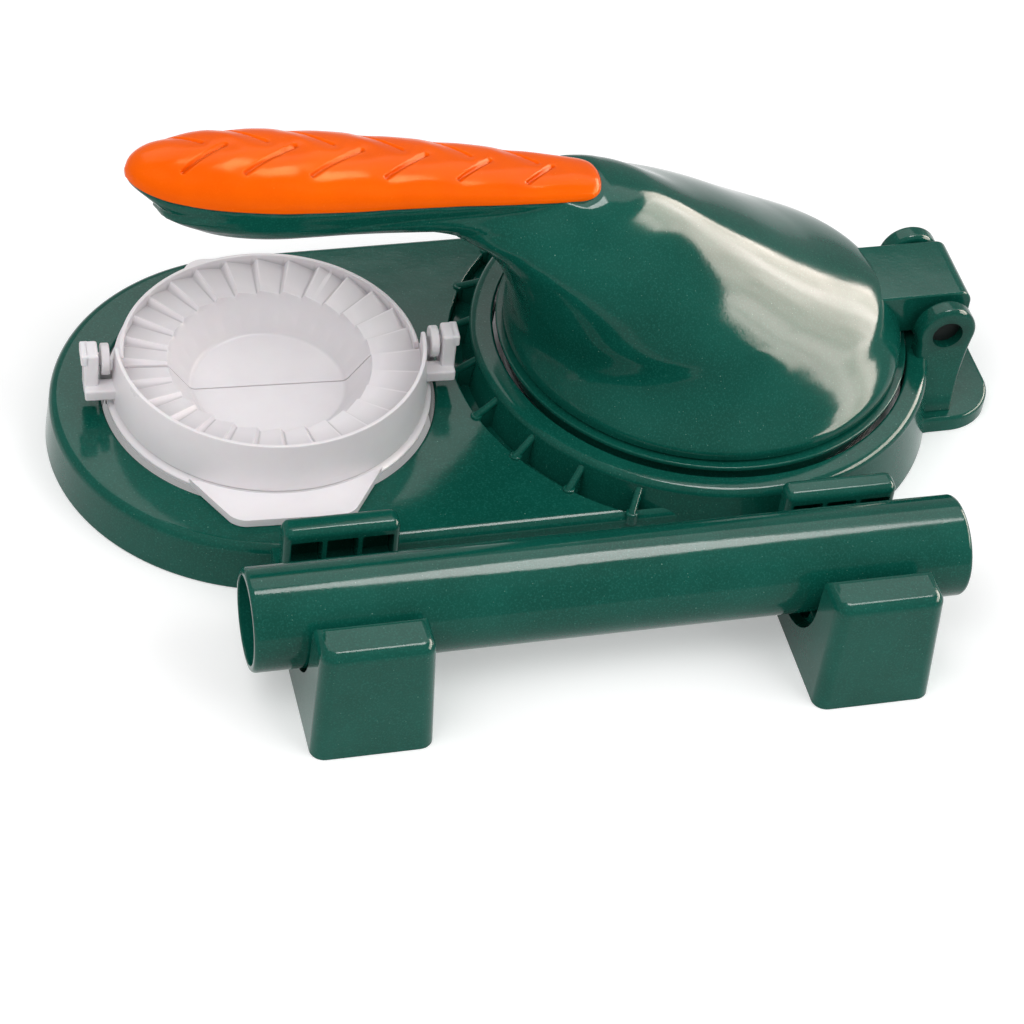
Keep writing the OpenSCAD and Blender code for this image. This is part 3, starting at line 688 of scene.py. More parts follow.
def cradle(x, tab_shift, block_shift, tab_aside):
    """One of the two holders of the rolling pin."""
    back = BLOCK_BACK - block_shift
    inner = CRADLE_HALF - SADDLE_T
    hollow = CRADLE_HALF - 4
    bm = cradle_walls(back, ROLLER_R + 1.2 + block_shift)
    shelf = box(-inner, inner, back - 2, -PLATE_R + 4, 4, SHELF_Z)
    bm = boolean(bm, [shelf], "UNION")
    notch = prism(circle(ROLLER_Y, PLATE_TOP, NOTCH_HALF), -inner, inner, "x")
    in_block = box(-hollow, hollow, back - BLOCK_T + SKIN, back - SKIN, -1, BLOCK_TOP - SKIN - 1)
    in_shelf = box(-hollow, hollow, ROLLER_Y + NOTCH_HALF + SKIN, -PLATE_R + 2, -1, PLATE_TOP - 4)
    bm = boolean(bm, [notch, in_block, in_shelf])
    return move(joined([bm, cradle_tab(TAB_BACK - tab_shift, tab_aside)]), (x, 0, 0))


def base_ears():
    """Two ears whose outer faces flare out towards the foot."""
    flare, flare_z = 5.5, 26.0
    outer = EAR_IN + EAR_T
    parts = []
    for s in (-1, 1):
        outline = arc(HINGE_X, HINGE_Z, EAR_R, 200, -14, 48)
        outline += [(HINGE_X + 4.1, 2.0), (HINGE_X - EAR_R + 1, 2.0)]
        bm = bevel(prism(outline, EAR_IN, outer, "y"), 1.5, 6, angle=60, pick=lambda a, b: max(a.z, b.z) > 3)
        for z in range(4, int(flare_z) + 2, 2):
            geom = bm.verts[:] + bm.edges[:] + bm.faces[:]
            bmesh.ops.bisect_plane(bm, geom=geom, dist=1e-4, plane_co=(0, 0, z), plane_no=(0, 0, 1))
        for v in bm.verts:
            k = max(0.0, min(1.0, (flare_z - v.co.z) / (flare_z - TONGUE_T)))
            v.co.y += flare * k * k * (v.co.y - EAR_IN) / EAR_T
        bore = prism(circle(HINGE_X, HINGE_Z, PIN_R), -30, 30, "y")
        room = cylinder(RIM_R + 0.8, COLLAR_TOP + 0.01, 60)
        parts.append(mirrored(boolean(bm, [bore, room]), y=s))
    return joined(parts)


def base_tongue():
    """Flat tongue under the hinge, flared where it meets the collar."""
    corner = 16.0
    flare = 10.0
    root_x, neck_x = 40, 66
    half = TONGUE_HALF
    outline = [(root_x, -half - 4)]
    outline += arc(neck_x, -half - flare, flare, 140, 90, 8)
    outline += arc(TONGUE_END - corner, -half + corner, corner, -90, 0, 24)
    outline += arc(TONGUE_END - corner, half - corner, corner, 0, 90, 24)
    outline += arc(neck_x, half + flare, flare, 270, 220, 8)
    outline += [(root_x, half + 4)]
    bm = prism(outline, 0, TONGUE_T, "z")
    bm = bevel(bm, 1.1, 4, pick=lambda a, b: min(a.z, b.z) > TONGUE_T - 0.1)
    return boolean(bm, [cylinder(COLLAR_FOOT_R - 3, -2, 40)])


left_cradle = cradle(CRADLE_X - CRADLE_GAP / 2, tab_shift=0, block_shift=0, tab_aside=1)
right_cradle = cradle(CRADLE_X + CRADLE_GAP / 2, tab_shift=5, block_shift=3, tab_aside=3)
BASE = ("base", ["base_shell"])
piece(base_plate(), "plate", GREEN, "green_plastic", *BASE)
piece(base_collar(), "collar", GREEN, "green_plastic", *BASE)
piece(base_ribs(), "moat_ribs", GREEN, "green_plastic", *BASE)
piece(left_cradle, "cradle_left", GREEN, "green_plastic", *BASE)
piece(right_cradle, "cradle_right", GREEN, "green_plastic", *BASE)
piece(base_ears(), "hinge_ears", GREEN, "green_plastic", *BASE)
piece(base_tongue(), "tongue", GREEN, "green_plastic", *BASE)


# Lever

DOME_TOP = SEAM_Z - 2
# Curves of the dome over its height, from the rim (0) to the top (1), in rim radii.
DOME_LEFT = [
    (0, 0.98), (0.05, 0.985), (0.15, 0.976), (0.25, 0.997), (0.35, 1.025), (0.45, 1.067), (0.55, 1.124),
    (0.65, 1.215), (0.7, 1.28), (0.75, 1.33), (0.8, 1.22), (0.85, 1.05), (0.9, 0.93), (1, 0.85),
]
DOME_RIGHT = [
    (0, 0.98), (0.06, 0.978), (0.14, 0.93), (0.22, 0.85), (0.375, 0.515), (0.56, 0.168), (0.69, -0.084),
    (0.84, -0.36), (0.94, -0.6), (1, -0.72),
]
DOME_HALF = [
    (0, 0.98), (0.04, 0.98), (0.08, 0.93), (0.12, 0.87), (0.16, 0.815), (0.2, 0.77), (0.25, 0.73),
    (0.3, 0.702), (0.35, 0.677), (0.45, 0.613), (0.55, 0.545), (0.65, 0.46), (0.75, 0.347), (0.85, 0.245),
    (0.95, 0.143), (1, 0.08),
]
# Curves of the handle over its length, from the free end (0) to the grip's inner end (1).
# Widths and the round end are shares of the full half width. Depths are millimetres below the
# seam, crowns above it, and seams are millimetres above SEAM_Z.
WIDTHS = [
    (0, 0.07), (0.012, 0.3), (0.038, 0.52), (0.076, 0.7), (0.114, 0.8), (0.167, 0.9), (0.227, 0.96),
    (0.303, 1), (0.379, 0.99), (0.455, 0.965), (0.53, 0.91), (0.606, 0.86), (0.682, 0.81), (0.758, 0.76),
    (0.833, 0.7), (0.909, 0.62), (1, 0.52),
]
DEPTHS = [
    (0, 1), (0.038, 4), (0.076, 8), (0.114, 11), (0.167, 13), (0.24, 14.4), (0.303, 14.5), (0.38, 13.7),
    (0.455, 12.7), (0.6, 12), (0.75, 11), (1, 10),
]
CROWNS = [
    (0, 1.5), (0.012, 4), (0.04, 6.5), (0.1, 9.3), (0.2, 11), (0.35, 10.3), (0.5, 8.8), (0.65, 7.2),
    (0.8, 5.6), (1, 4),
]
SEAMS = [
    (0, 5.6), (0.1, 3.3), (0.2, 1.7), (0.3, 0.4), (0.38, -0.5), (0.53, -2.3), (0.68, -4.3), (0.83, -6.9),
    (1, -10),
]
ROUND_END = [(0.955, 1), (0.972, 0.985), (0.985, 0.92), (0.994, 0.78), (1, 0.5)]
GRIP_SCREWS = [0.18, 0.58]
# Width of the blend between dome and handle, at the seam and well below it.
CRISP = 0.6
NECK_BLEND = 12.0
# Height at which the dome is cut off.
CAP_Z = RIM_Z + 0.91 * (DOME_TOP - RIM_Z)


def handle_x(t):
    """X of a place along the handle."""
    return t * GRIP_LEN - HANDLE_REACH


def handle_w(t):
    """Half width of the grip at a place along the handle."""
    return HANDLE_HALF_W * curve(WIDTHS, t)


def seam(t):
    """Height of the seam between grip and handle."""
    return SEAM_Z + curve(SEAMS, t)


def signed(v, p):
    """Power of a number that keeps its sign."""
    return math.copysign(abs(v) ** p, v)


def dome_ring(t, n=144):
    """Section of the dome at a share of its height."""
    x0 = -RIM_R * curve(DOME_LEFT, t)
    x1 = RIM_R * curve(DOME_RIGHT, t)
    ry = RIM_R * curve(DOME_HALF, t)
    cx = (x0 + x1) / 2
    rx = (x1 - x0) / 2
    z = RIM_Z + t * (DOME_TOP - RIM_Z)
    turns = [2 * math.pi * i / n for i in range(n)]
    return [(cx - rx * math.cos(a), -ry * math.sin(a), z) for a in turns]


def hull_ring(t, n=64):
    """Section of the handle below the seam, at a place along it."""
    w = handle_w(t) - 0.25
    d = max(curve(DEPTHS, t) - 0.1, 0.3)
    z = seam(t)
    out = []
    for i in range(n + 1):
        a = math.pi + math.pi * i / n
        out.append((handle_x(t), w * signed(math.cos(a), 0.8), z + d * signed(math.sin(a), 0.85)))
    return out


def sampled(f, lo, hi, n=500):
    xs = np.linspace(lo, hi, n)
    ys = np.array([f(x) for x in xs])
    return lambda v: np.interp(v, xs, ys)


LEFT_AT = sampled(lambda t: -RIM_R * curve(DOME_LEFT, t), 0, 1)
RIGHT_AT = sampled(lambda t: RIM_R * curve(DOME_RIGHT, t), 0, 1)
HALF_AT = sampled(lambda t: RIM_R * curve(DOME_HALF, t), 0, 1)
WIDTH_AT = sampled(lambda t: handle_w(t) - 0.25, 0, 1)
DEPTH_AT = sampled(lambda t: max(curve(DEPTHS, t) - 0.1, 0.3), 0, 1)
SEAM_AT = sampled(seam, 0, 1)


def dome_field(p):
    """Below nought inside the dome, carried up without end past its top."""
    t = np.clip((p[:, 2] - RIM_Z) / (DOME_TOP - RIM_Z), 0, 1)
    x0, x1, ry = LEFT_AT(t), RIGHT_AT(t), HALF_AT(t)
    return np.hypot((p[:, 0] - (x0 + x1) / 2) / ((x1 - x0) / 2), p[:, 1] / ry) - 1


def hull_field(p):
    """Below nought inside the handle, carried on past its seam and both ends."""
    t = np.clip((p[:, 0] + HANDLE_REACH) / GRIP_LEN, 0, 1)
    across = (np.abs(p[:, 1]) / WIDTH_AT(t)) ** 2.5
    down = (np.abs(p[:, 2] - SEAM_AT(t)) / DEPTH_AT(t)) ** 2.353
    return (across + down) ** (1 / 2.4) - 1


def gradient(field, p, h=0.25):
    """Slope of a field at points, over a step h to both sides."""
    out = np.empty_like(p)
    for axis in range(3):
        step = np.zeros(3)
        step[axis] = h
        out[:, axis] = (field(p + step) - field(p - step)) / (2 * h)
    return out


def distance(field, p):
    """Field divided by its slope, close to a distance near the surface."""
    return field(p) / np.maximum(np.linalg.norm(gradient(field, p), axis=1), 1e-4)


def soft_min(a, b, k):
    """The smaller of two fields, rounded over where they differ by less than k."""
    h = np.maximum(k - np.abs(a - b), 0) / k
    return np.minimum(a, b) - h * h * k / 4


def lever_field(p):
    """Dome and handle grown together, cut at the seam under the grip and capped at the dome's top."""
    x, z = p[:, 0], p[:, 2]
    seam_z = SEAM_AT(np.clip((x + HANDLE_REACH) / GRIP_LEN, 0, 1)) + 0.1
    middle = HANDLE_REACH - GRIP_LEN / 2
    ends = np.abs(x + middle) - GRIP_LEN / 2
    hull = np.maximum(np.maximum(distance(hull_field, p), z - seam_z), ends)
    dome = distance(dome_field, p)
    # The blend is crisp at the seam and full 9 mm below it.
    low = np.clip((seam_z - z) / 9, 0, 1)
    blend = CRISP + (NECK_BLEND - CRISP) * low * low * (3 - 2 * low)
    d = soft_min(dome, hull, blend)
    # The cut follows the seam under the grip and rises to the dome's top behind it.
    rise = np.clip((x + 45) / 10, 0, 1)
    cap = seam_z + (CAP_Z + 0.8 - seam_z) * rise * rise * (3 - 2 * rise)
    return -soft_min(-d, cap - z, 0.8 + 5 * rise)


def soften(ob, times):
    """Evens out a mesh."""
    mod = ob.modifiers.new("smooth", "SMOOTH")
    mod.factor = 0.5
    mod.iterations = times
    settle(ob)


def lever_rough():
    """Even mesh close to the dome and the handle."""
    first = dome_ring(0)
    loops = [[(x, y, RIM_Z - drop) for x, y, _ in first] for drop in (8, 4)]
    loops += [dome_ring(0.01 + 0.9 * k / 56) for k in range(57)]
    ts = [0.0, 0.006, 0.012, 0.02, 0.035, 0.05, 0.07, 0.09, 0.12]
    ts += [0.15 + 0.85 * k / 34 for k in range(35)]
    ob = as_object(joined([rings(loops), rings([hull_ring(t) for t in ts])]), "lever_work")
    mod = ob.modifiers.new("grow", "REMESH")
    mod.mode = "VOXEL"
    mod.voxel_size = 0.9
    settle(ob)
    soften(ob, 10)
    return ob


def draw_on(mesh, field):
    """Draws each point of a mesh onto the surface where a field is nought, in a few short steps."""
    longest = 1.5
    p = np.empty(len(mesh.vertices) * 3)
    mesh.vertices.foreach_get("co", p)
    p = p.reshape(-1, 3)
    for _ in range(5):
        g = gradient(field, p)
        size = np.maximum((g * g).sum(axis=1), 0.05)
        step = g * (field(p) / size)[:, None]
        length = np.linalg.norm(step, axis=1)
        p = p - step * np.minimum(1, longest / np.maximum(length, 1e-6))[:, None]
    mesh.vertices.foreach_set("co", p.ravel())
    mesh.update()


def screw_wells():
    """Wells of the two grip screws."""
    wells = []
    for t in GRIP_SCREWS:
        low = seam(t) - curve(DEPTHS, t)
        wells.append(move(cylinder(SCREW_WELL_R, low - 5, low + 3, 48), (handle_x(t), 0, 0)))
    return wells


def lever_body():
    """Dome and handle as one smooth form with a crisp rim."""
    ob = lever_rough()
    draw_on(ob.data, lever_field)
    soften(ob, 3)
    bm = to_bmesh(ob)
    geom = bm.verts[:] + bm.edges[:] + bm.faces[:]
    cut = bmesh.ops.bisect_plane(
        bm, geom=geom, dist=1e-4, plane_co=(0, 0, RIM_Z), plane_no=(0, 0, -1), clear_outer=True
    )
    edges = [e for e in cut["geom_cut"] if isinstance(e, bmesh.types.BMEdge)]
    bmesh.ops.contextual_create(bm, geom=edges)
    bmesh.ops.recalc_face_normals(bm, faces=bm.faces)
    return boolean(bm, screw_wells())


def knuckle():
    """Hinge block of the lever: flat on top, round about the pin below."""
    corner = 4.0
    root = 44
    end, top = HINGE_X + KNUCKLE_R, HINGE_Z + KNUCKLE_R
    outline = [(root, top)]
    outline += arc(end - corner, top - corner, corner, 90, 0, 10)
    outline += arc(HINGE_X, HINGE_Z, KNUCKLE_R, 0, -150, 36)
    outline += [(RIM_R + 1.2, RIM_Z), (root, RIM_Z)]
    bm = prism(outline, -KNUCKLE_HALF, KNUCKLE_HALF, "y")
    bore = prism(circle(HINGE_X, HINGE_Z, PIN_R + RUN), -30, 30, "y")
    bm = bevel(bm, 0.7, 3, angle=60)
    return boolean(bm, [bore])


# Where each groove starts along the handle, and how far it runs.
GROOVES = [(-155.5, 12.5), (-139, 15), (-121, 15.5), (-100.5, 13), (-80, 10.5), (-60, 8.5)]


def groove_bars():
    """Grooves of the grip as bars: two ends, half width and depth. A long and a short bar make a V."""
    out = []
    for x, run in GROOVES:
        w = handle_w((x + HANDLE_REACH) / GRIP_LEN)
        out.append(((x, -0.62 * w), (x + run, 0.1 * w), 0.5, 1.1))
        out.append(((x - 3, 0.75 * w), (x + 0.5 * run, 0.2 * w), 0.4, 0.8))
    return out


def groove_depth(x, y, bars):
    """Depth below the crown: narrow grooves, each in a wide shallow valley."""
    depth = 0.0
    valley = 0.0
    for (ax, ay), (bx, by), half, deep in bars:
        dx, dy = bx - ax, by - ay
        t = max(0.0, min(1.0, ((x - ax) * dx + (y - ay) * dy) / (dx * dx + dy * dy)))
        d = math.hypot(x - ax - t * dx, y - ay - t * dy)
        if d < 7:
            k = max(0.0, min(1.0, (half + 0.3 - d) / 0.5))
            depth = max(depth, deep * k * k * (3 - 2 * k))
            valley = max(valley, 0.5 * math.exp(-((d / 3.2) ** 2)))
    return depth + valley


def grip():
    """Insert on the handle: rounded across, grooved on top, with a small step under its rim."""
    bars = groove_bars()
    n = 120
    ts = [0.0, 0.002, 0.005, 0.009, 0.014, 0.02, 0.028, 0.037]
    ts += [0.045 + (0.93 - 0.045) * k / 300 for k in range(301)]
    ts += [0.94, 0.95, 0.96, 0.968, 0.975, 0.981, 0.986, 0.99, 0.994, 0.997, 1.0]
    loops = []
    for t in ts:
        end = curve(ROUND_END, t)
        w = max(handle_w(t) * end, 0.3)
        h = max(curve(CROWNS, t) * (1 + end) / 2, 0.3)
        z = seam(t)
        x = handle_x(t)
        loop = []
        for i in range(n + 1):
            a = math.pi * i / n
            c, s = signed(math.cos(a), 0.85), signed(math.sin(a), 0.9)
            g = groove_depth(x, w * c, bars)
            loop.append((x, (w - g) * c if w > 2 else w * c, z + max(h - g, 0.2) * s))
        loops.append([(x, loop[0][1] - 0.1, z - 0.15), *loop, (x, loop[-1][1] + 0.1, z - 0.15)])
    return rings(loops)


def press_disc():
    """Upper press plate, with its flange and the ring that reaches up into the dome."""
    body_r = RIM_R - 2
    lip_r = RIM_R + 0.5
    inner_r = SPIGOT_R - 2
    wall = [(0, UPPER_FACE), (body_r - 0.8, UPPER_FACE), *arc(body_r - 0.8, UPPER_FACE + 0.8, 0.8, -80, 0, 5)]
    wall += [(body_r, FLANGE_TOP - 1.4), (lip_r, FLANGE_TOP - 1.4)]
    wall += [*arc(lip_r, FLANGE_TOP - 1.0, 0.4, -80, 0, 3), *arc(lip_r, FLANGE_TOP - 0.4, 0.4, 0, 90, 3)]
    wall += [(SPIGOT_R, FLANGE_TOP), (SPIGOT_R, RIM_Z + 3), (inner_r, RIM_Z + 3)]
    wall += [(inner_r, UPPER_FACE + SKIN), (0, UPPER_FACE + SKIN)]
    return turned(wall, 256)


LEVER = "lever"
piece(lever_body(), "lever_body", GREEN, "green_plastic", LEVER, ["lever_shell"], angle=50)
piece(knuckle(), "knuckle", GREEN, "green_plastic", LEVER, ["lever_shell"])
piece(grip(), "grip", ORANGE, "orange_plastic", LEVER, ["handle_grip"], angle=60)
piece(press_disc(), "press_disc", GREEN, "green_plastic", LEVER, ["upper_press_plate"])


# Rolling pin

def rolling_pin():
    """Tube with rounded ends, lying along X."""
    bore_r = ROLLER_R - ROLLER_WALL
    c = 1.3
    half = ROLLER_LEN / 2
    profile = []
    for s in (-1, 1):
        lip = [(bore_r, s * (half - 0.5)), (bore_r + 0.3, s * half), (ROLLER_R - c * 0.8, s * half)]
        for b in (20, 40, 60, 80, 90):
            out, back = math.sin(math.radians(b)), math.cos(math.radians(b))
            lip.append((ROLLER_R - c * 0.8 + c * 0.8 * out, s * (half - c + c * back)))
        profile += lip if s < 0 else lip[::-1]
    bm = turned(profile, 160)
    lying = Matrix.Rotation(math.radians(90), 4, "Y")
    bm.transform(Matrix.Translation(Vector((CRADLE_X, ROLLER_Y, ROLLER_Z))) @ lying)
    return bm


piece(rolling_pin(), "rolling_pin_tube", GREEN, "green_plastic", "rolling_pin", ["rolling_pin"])


# Mould

PLEATS = 14
BOWL_R = 28.9
FLOOR_R = 22.3
FLOOR_Z = 16.5
PLEAT_Z = FOLD_Z - 2.2
LIP_R = MOULD_R + 1.5
LIP_TOP = FOLD_Z + 4
SKIRT_LOW = PLATE_TOP + 3
BODY_R = HOLE_R - 1.2
BODY_LOW = PLATE_TOP - 2.5
FRONT_LOW = PLATE_TOP + 0.2
ARM_IN = MOULD_R + 2.9
ARM_T = 2.4
POST_IN = ARM_IN + ARM_T + 0.8
POST_T = 4.1
POST_LOW = PLATE_TOP + 5.0
FOLD_PIN_R = 1.9
PARTING = 0.25


def pleat_height(a):
    """Sawtooth round the rim: each tooth climbs slowly and drops at once."""
    step = 180 / PLEATS
    f = (a % step) / step
    return f / 0.86 if f < 0.86 else (1 - f) / 0.14


def front_rim(pleat_z):
    """Raised lip of the front half, from the pleats outwards and down its skirt."""
    return [
        (LIP_R - 1.35, pleat_z), (LIP_R - 1.3, LIP_TOP - 0.45), (LIP_R - 1.1, LIP_TOP - 0.1),
        (LIP_R - 0.65, LIP_TOP), (LIP_R - 0.2, LIP_TOP - 0.1), (LIP_R, LIP_TOP - 0.45),
        (LIP_R + 0.9, SKIRT_LOW + 0.7), (LIP_R + 0.85, SKIRT_LOW + 0.2), (LIP_R + 0.4, SKIRT_LOW),
    ]


def rear_rim(pleat_z):
    """Low rim of the rear half, from the pleats outwards and down its skirt."""
    return [
        (MOULD_R - 1.4, pleat_z), (MOULD_R - 1.35, FOLD_Z - 0.6), (MOULD_R - 1.15, FOLD_Z - 0.25),
        (MOULD_R - 0.7, FOLD_Z - 0.15), (MOULD_R - 0.25, FOLD_Z - 0.25), (MOULD_R, FOLD_Z - 0.6),
        (MOULD_R, FOLD_Z - 4.4), (MOULD_R + 1.6, FOLD_Z - 5.4), (MOULD_R + 2.35, SKIRT_LOW + 0.6),
        (MOULD_R + 2.1, SKIRT_LOW),
    ]


def mould_below(low):
    """Body that sits in the plate's hole, and the underside as far as the middle."""
    under = PLEAT_Z - 4.4
    return [
        (BODY_R - 0.4, SKIRT_LOW - 1.0), (BODY_R, SKIRT_LOW - 1.5), (BODY_R, low + 0.4),
        (BODY_R - 0.4, low), (BODY_R - 2, low), (BODY_R - 2, SKIRT_LOW - 1), (MOULD_R + 0.4, SKIRT_LOW + 1),
        (MOULD_R - 1.6, under), (BOWL_R + 1, under), (FLOOR_R + 0.9, FLOOR_Z - 2), (0, FLOOR_Z - 2),
    ]


def bowl(pleat_z):
    """Bowl, from its middle out to the inner ends of the pleats."""
    edge_z = PLEAT_Z - 2.3
    return [
        (0, FLOOR_Z), (FLOOR_R - 1.2, FLOOR_Z), (FLOOR_R - 0.3, FLOOR_Z + 0.25),
        (FLOOR_R + 0.5, FLOOR_Z + 0.9), (BOWL_R - 0.9, edge_z - 0.8), (BOWL_R - 0.2, edge_z),
        (BOWL_R + 0.1, pleat_z - 0.1), (BOWL_R + 0.5, pleat_z),
    ]


def mould_half(front):
    """Half of the mould over half a turn, with pleats between its bowl and its rim."""
    rim = front_rim if front else rear_rim
    low = FRONT_LOW if front else BODY_LOW
    a0 = 180.0 if front else 0.0
    n = PLEATS * 28
    loops = []
    for k in range(n + 1):
        a = a0 + 180.0 * k / n
        h = pleat_height(a - a0)
        profile = rim(PLEAT_Z - 1.5 + 2.3 * h) + mould_below(low) + bowl(PLEAT_Z - 2.1 + 1.3 * h)
        loops.append([polar(r, a, z) for r, z in profile])
    # Room between the halves, so that they part along a fine line.
    reach = ARM_IN - 0.2
    near, far = (-PARTING, 20) if front else (-20, PARTING)
    return boolean(rings(loops), [box(-reach, reach, near, far, 0, 60)])


def wing(front):
    """Flat tab that a half is lifted by."""
    s = -1 if front else 1
    right = arc(30, 40, 4, 205, 222, 3) + arc(12.5, 48.4, 6.6, 40, 90, 10)
    left = [(-x, y) for x, y in right[::-1]]
    outline = [(x, s * y) for x, y in right + left]
    bm = prism(outline, PLATE_TOP + 0.2, PLATE_TOP + 2.7, "z")
    bm = bevel(bm, 0.7, 3, pick=lambda a, b: abs(a.z - b.z) < 0.1)
    return boolean(bm, [cylinder(BODY_R - 1, 0, 40)])


def rounded(bm, r=0.5, n=3):
    return bevel(bm, r, n, angle=60)


def rear_fittings():
    """Hinge arms of the rear half, with their pins."""
    arm_out = ARM_IN + ARM_T
    low = FOLD_Z - 10.5
    parts = []
    for s in (1, -1):
        bits = [
            rounded(prism(circle(0, FOLD_Z, 4.5), ARM_IN, arm_out, "x"), 0.45),
            rounded(box(ARM_IN, arm_out, 1.5, 4.5, low, FOLD_Z), 0.4),
            rounded(box(MOULD_R - 1, arm_out, 1.5, 6.0, low, FOLD_Z - 5.7), 0.5),
            rounded(prism(circle(0, FOLD_Z, FOLD_PIN_R, 24), ARM_IN, arm_out + 3.8, "x"), 0.3),
        ]
        parts += [mirrored(bm, x=s) for bm in bits]
    return parts


def front_fittings():
    """Hinge posts of the front half, each with a lip on top and a bridge to the skirt."""
    post_out = POST_IN + POST_T
    top = FOLD_Z + 4.6
    parts = []
    for s in (1, -1):
        post = rounded(box(POST_IN, post_out, -4, 3, POST_LOW, top), 0.8, 4)
        bore = prism(circle(0, FOLD_Z, FOLD_PIN_R + RUN, 24), POST_IN - 1, POST_IN + 3.4, "x")
        bits = [
            boolean(post, [bore]),
            rounded(box(post_out - 1.6, post_out + 0.8, -4, 3, FOLD_Z + 1, top), 0.5),
            rounded(box(MOULD_R + 0.8, post_out - 0.1, -6.5, -1.0, POST_LOW, POST_LOW + 3.6), 0.6),
        ]
        parts += [mirrored(bm, x=s) for bm in bits]
    return parts


def placed(parts):
    """Parts of the mould, made about its middle, as they lie in the plate's hole."""
    return move(joined(parts), (MOULD_X, 0, 0), MOULD_TURN)


mould_back = placed([mould_half(False), wing(False), *rear_fittings()])
mould_front = placed([mould_half(True), wing(True), *front_fittings()])
piece(mould_back, "mould_back", WHITE, "white_plastic", "mould_rear", ["mould_rear_half"])
piece(mould_front, "mould_front", WHITE, "white_plastic", "mould_front", ["mould_front_half"])


# CAD parts that stay

def keep(node, material):
    """Gives a CAD node its material and leaves it as it is."""
    ob = frame["nodes"][node]
    ob.data.materials.clear()
    ob.data.materials.append(material)


keep("lower_press_plate", STEEL)
keep("lower_plate_screws", STEEL)
keep("grip_screws", STEEL)
# The hinge pin is near-black: painted shade in the ears' bores.
keep("hinge_pin", PIN_SHADE_BLACK)


# Floor, light and camera

def floor():
    """Pale matt floor, white to the camera and in reflections, that keeps the part's shadow."""
    s = 3.0
    bm = shape([(-s, -s, 0), (s, -s, 0), (s, s, 0), (-s, s, 0)], [(0, 1, 2, 3)])
    ob = as_object(bm, "floor")
    ob.location.z = -0.0002
    mat = bpy.data.materials.new("floor")
    mat.use_nodes = True
    tree = mat.node_tree
    out = tree.nodes["Material Output"]
    tree.nodes.remove(tree.nodes["Principled BSDF"])
    diffuse = tree.nodes.new("ShaderNodeBsdfDiffuse")
    diffuse.inputs["Color"].default_value = (0.82, 0.82, 0.82, 1)
    glow = tree.nodes.new("ShaderNodeEmission")
    path = tree.nodes.new("ShaderNodeLightPath")
    seen = maths(tree, "MAXIMUM", path.outputs["Is Camera Ray"], path.outputs["Is Glossy Ray"])
    tree.links.new(maths(tree, "MULTIPLY", seen, 0.3), glow.inputs["Strength"])
    add = tree.nodes.new("ShaderNodeAddShader")
    tree.links.new(diffuse.outputs[0], add.inputs[0])
    tree.links.new(glow.outputs[0], add.inputs[1])
    tree.links.new(add.outputs[0], out.inputs["Surface"])
    ob.data.materials.append(mat)


# Strength of the world as light on the object.
SOFT_LEVEL = 0.56
# Points that the lamps and the reflected panels are turned to, and their distance, in metres.
LAMP_AIM = (-0.05, 0, 0.03)
PANEL_AIM = Vector((-0.05, -0.03, 0.03))
AWAY = 1.3


def world():
    """White to the camera, a soft even light on the object, and a graded sky in reflections."""
    w = bpy.data.worlds.new("studio")
    w.use_nodes = True
    tree = w.node_tree
    back = tree.nodes["Background"]
    path = tree.nodes.new("ShaderNodeLightPath")
    # Reflections see it dim near the horizon and bright overhead.
    coord = tree.nodes.new("ShaderNodeTexCoord")
    split = tree.nodes.new("ShaderNodeSeparateXYZ")
    tree.links.new(coord.outputs["Generated"], split.inputs[0])
    sky = map_range(tree, split.outputs["Z"], 0.6, 0.95, 0.42, 0.85)
    glossy = maths(tree, "MULTIPLY", path.outputs["Is Glossy Ray"], sky)
    clear = maths(tree, "MAXIMUM", path.outputs["Is Camera Ray"], path.outputs["Is Transmission Ray"])
    seen = maths(tree, "MAXIMUM", clear, glossy)
    tree.links.new(maths(tree, "MAXIMUM", seen, SOFT_LEVEL), back.inputs["Strength"])
    back.inputs["Color"].default_value = (1, 1, 1, 1)
    bpy.context.scene.world = w


def lamp(name, place, aim, size, power, colour=(1, 1, 1)):
    """Rectangular lamp at a place, turned towards its aim."""
    data = bpy.data.lights.new(name, "AREA")
    data.shape = "RECTANGLE"
    data.size, data.size_y = size
    data.energy = power
    data.color = colour
    ob = bpy.data.objects.new(name, data)
    bpy.context.scene.collection.objects.link(ob)
    ob.location = place
    ob.rotation_euler = (Vector(place) - Vector(aim)).to_track_quat("Z", "Y").to_euler()
    return ob


def main_lamp(name, azimuth, elevation, side, power):
    """Square soft box that lights the object without showing in its gloss."""
    ob = lamp(name, AWAY * direction(azimuth, elevation), LAMP_AIM, (side, side), power)
    ob.visible_glossy = False


def direction(azimuth, elevation):
    """Unit vector from an azimuth counted from the front towards the hinge, and an elevation, in degrees."""
    a, e = math.radians(azimuth), math.radians(elevation)
    return Vector((math.cos(e) * math.sin(a), -math.cos(e) * math.cos(a), math.sin(e)))


def reflected(name, azimuth, elevation, distance, size, power, colour):
    """Soft box that shows in reflections and adds no light of its own."""
    ob = lamp(name, PANEL_AIM + distance * direction(azimuth, elevation), PANEL_AIM, size, power, colour)
    ob.visible_diffuse = False
    ob.visible_camera = False


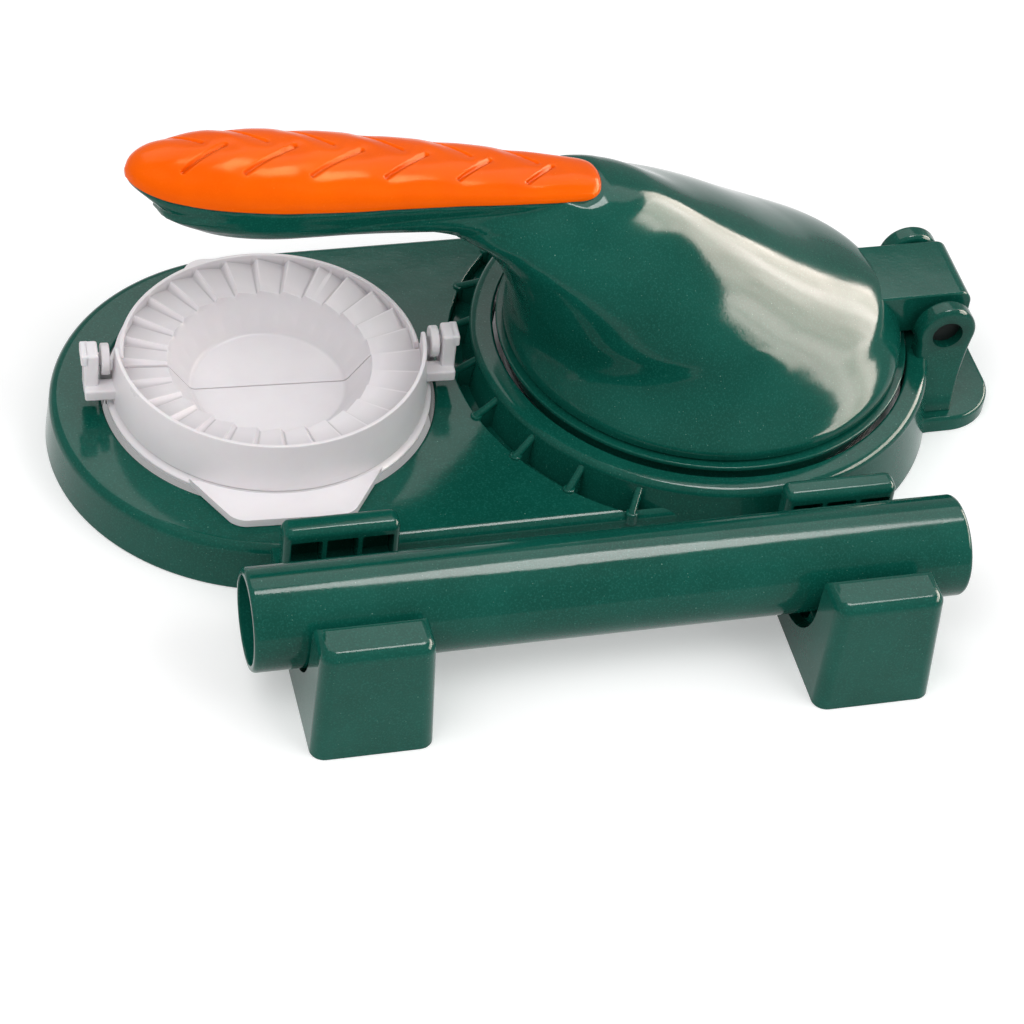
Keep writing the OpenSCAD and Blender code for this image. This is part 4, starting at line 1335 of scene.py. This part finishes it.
def bright_panel():
    """Cloudy bright panel to the right, seen in reflections only."""
    half_w, half_h = 0.82, 0.26
    way = direction(92, 26)
    corners = [(-half_w, -half_h, 0), (half_w, -half_h, 0), (half_w, half_h, 0), (-half_w, half_h, 0)]
    ob = as_object(shape(corners, [(0, 1, 2, 3)]), "bright_panel")
    ob.location = PANEL_AIM + AWAY * way
    ob.rotation_euler = way.to_track_quat("Z", "Y").to_euler()
    mat = bpy.data.materials.new("bright_panel")
    mat.use_nodes = True
    tree = mat.node_tree
    tree.nodes.remove(tree.nodes["Principled BSDF"])
    coord = tree.nodes.new("ShaderNodeTexCoord")
    cloud = noise(tree, coord.outputs["Object"], 3.2, 4, 0.62)
    glow = tree.nodes.new("ShaderNodeEmission")
    tint = ramp(tree, cloud, [(0.3, (0.98, 0.84, 0.72)), (0.7, (1, 0.87, 0.8))])
    tree.links.new(tint, glow.inputs["Color"])
    tree.links.new(map_range(tree, cloud, 0.35, 0.68, 17.0, 31.0), glow.inputs["Strength"])
    tree.links.new(glow.outputs[0], tree.nodes["Material Output"].inputs["Surface"])
    ob.data.materials.append(mat)
    ob.visible_camera = False
    ob.visible_diffuse = False
    ob.visible_shadow = False
    ob.visible_transmission = False


def camera():
    """Camera as fitted to the photo: a point it looks at, three angles, a distance and a lens."""
    look = Vector((-0.0652, -0.044, 0))
    az, el, roll = math.radians(-18.582), math.radians(44.378), math.radians(7.443)
    away = 0.90938
    back = Vector((math.sin(az) * math.cos(el), -math.cos(az) * math.cos(el), math.sin(el)))
    right = Vector((math.cos(az), math.sin(az), 0))
    up = back.cross(right)
    rolled_right = math.cos(roll) * right + math.sin(roll) * up
    rolled_up = -math.sin(roll) * right + math.cos(roll) * up
    place = Matrix((rolled_right, rolled_up, back)).transposed().to_4x4()
    place.translation = look + back * away
    data = bpy.data.cameras.new("camera")
    data.lens = 112.5
    data.sensor_width = 36
    data.clip_start = 0.05
    data.clip_end = 20
    ob = bpy.data.objects.new("camera", data)
    bpy.context.scene.collection.objects.link(ob)
    ob.matrix_world = place
    bpy.context.scene.camera = ob


floor()
world()
main_lamp("key", 46, 47, 0.8, 6)
main_lamp("fill", -60, 55, 0.9, 6)
bright_panel()
reflected("back_panel", 163, 53, AWAY, (1.7, 0.7), 9, (1, 0.97, 0.96))
reflected("top_strip", 128, 72, 1.28, (0.44, 0.44), 14, (1, 0.96, 0.95))
camera()
bpy.context.scene.view_settings.view_transform = "Standard"
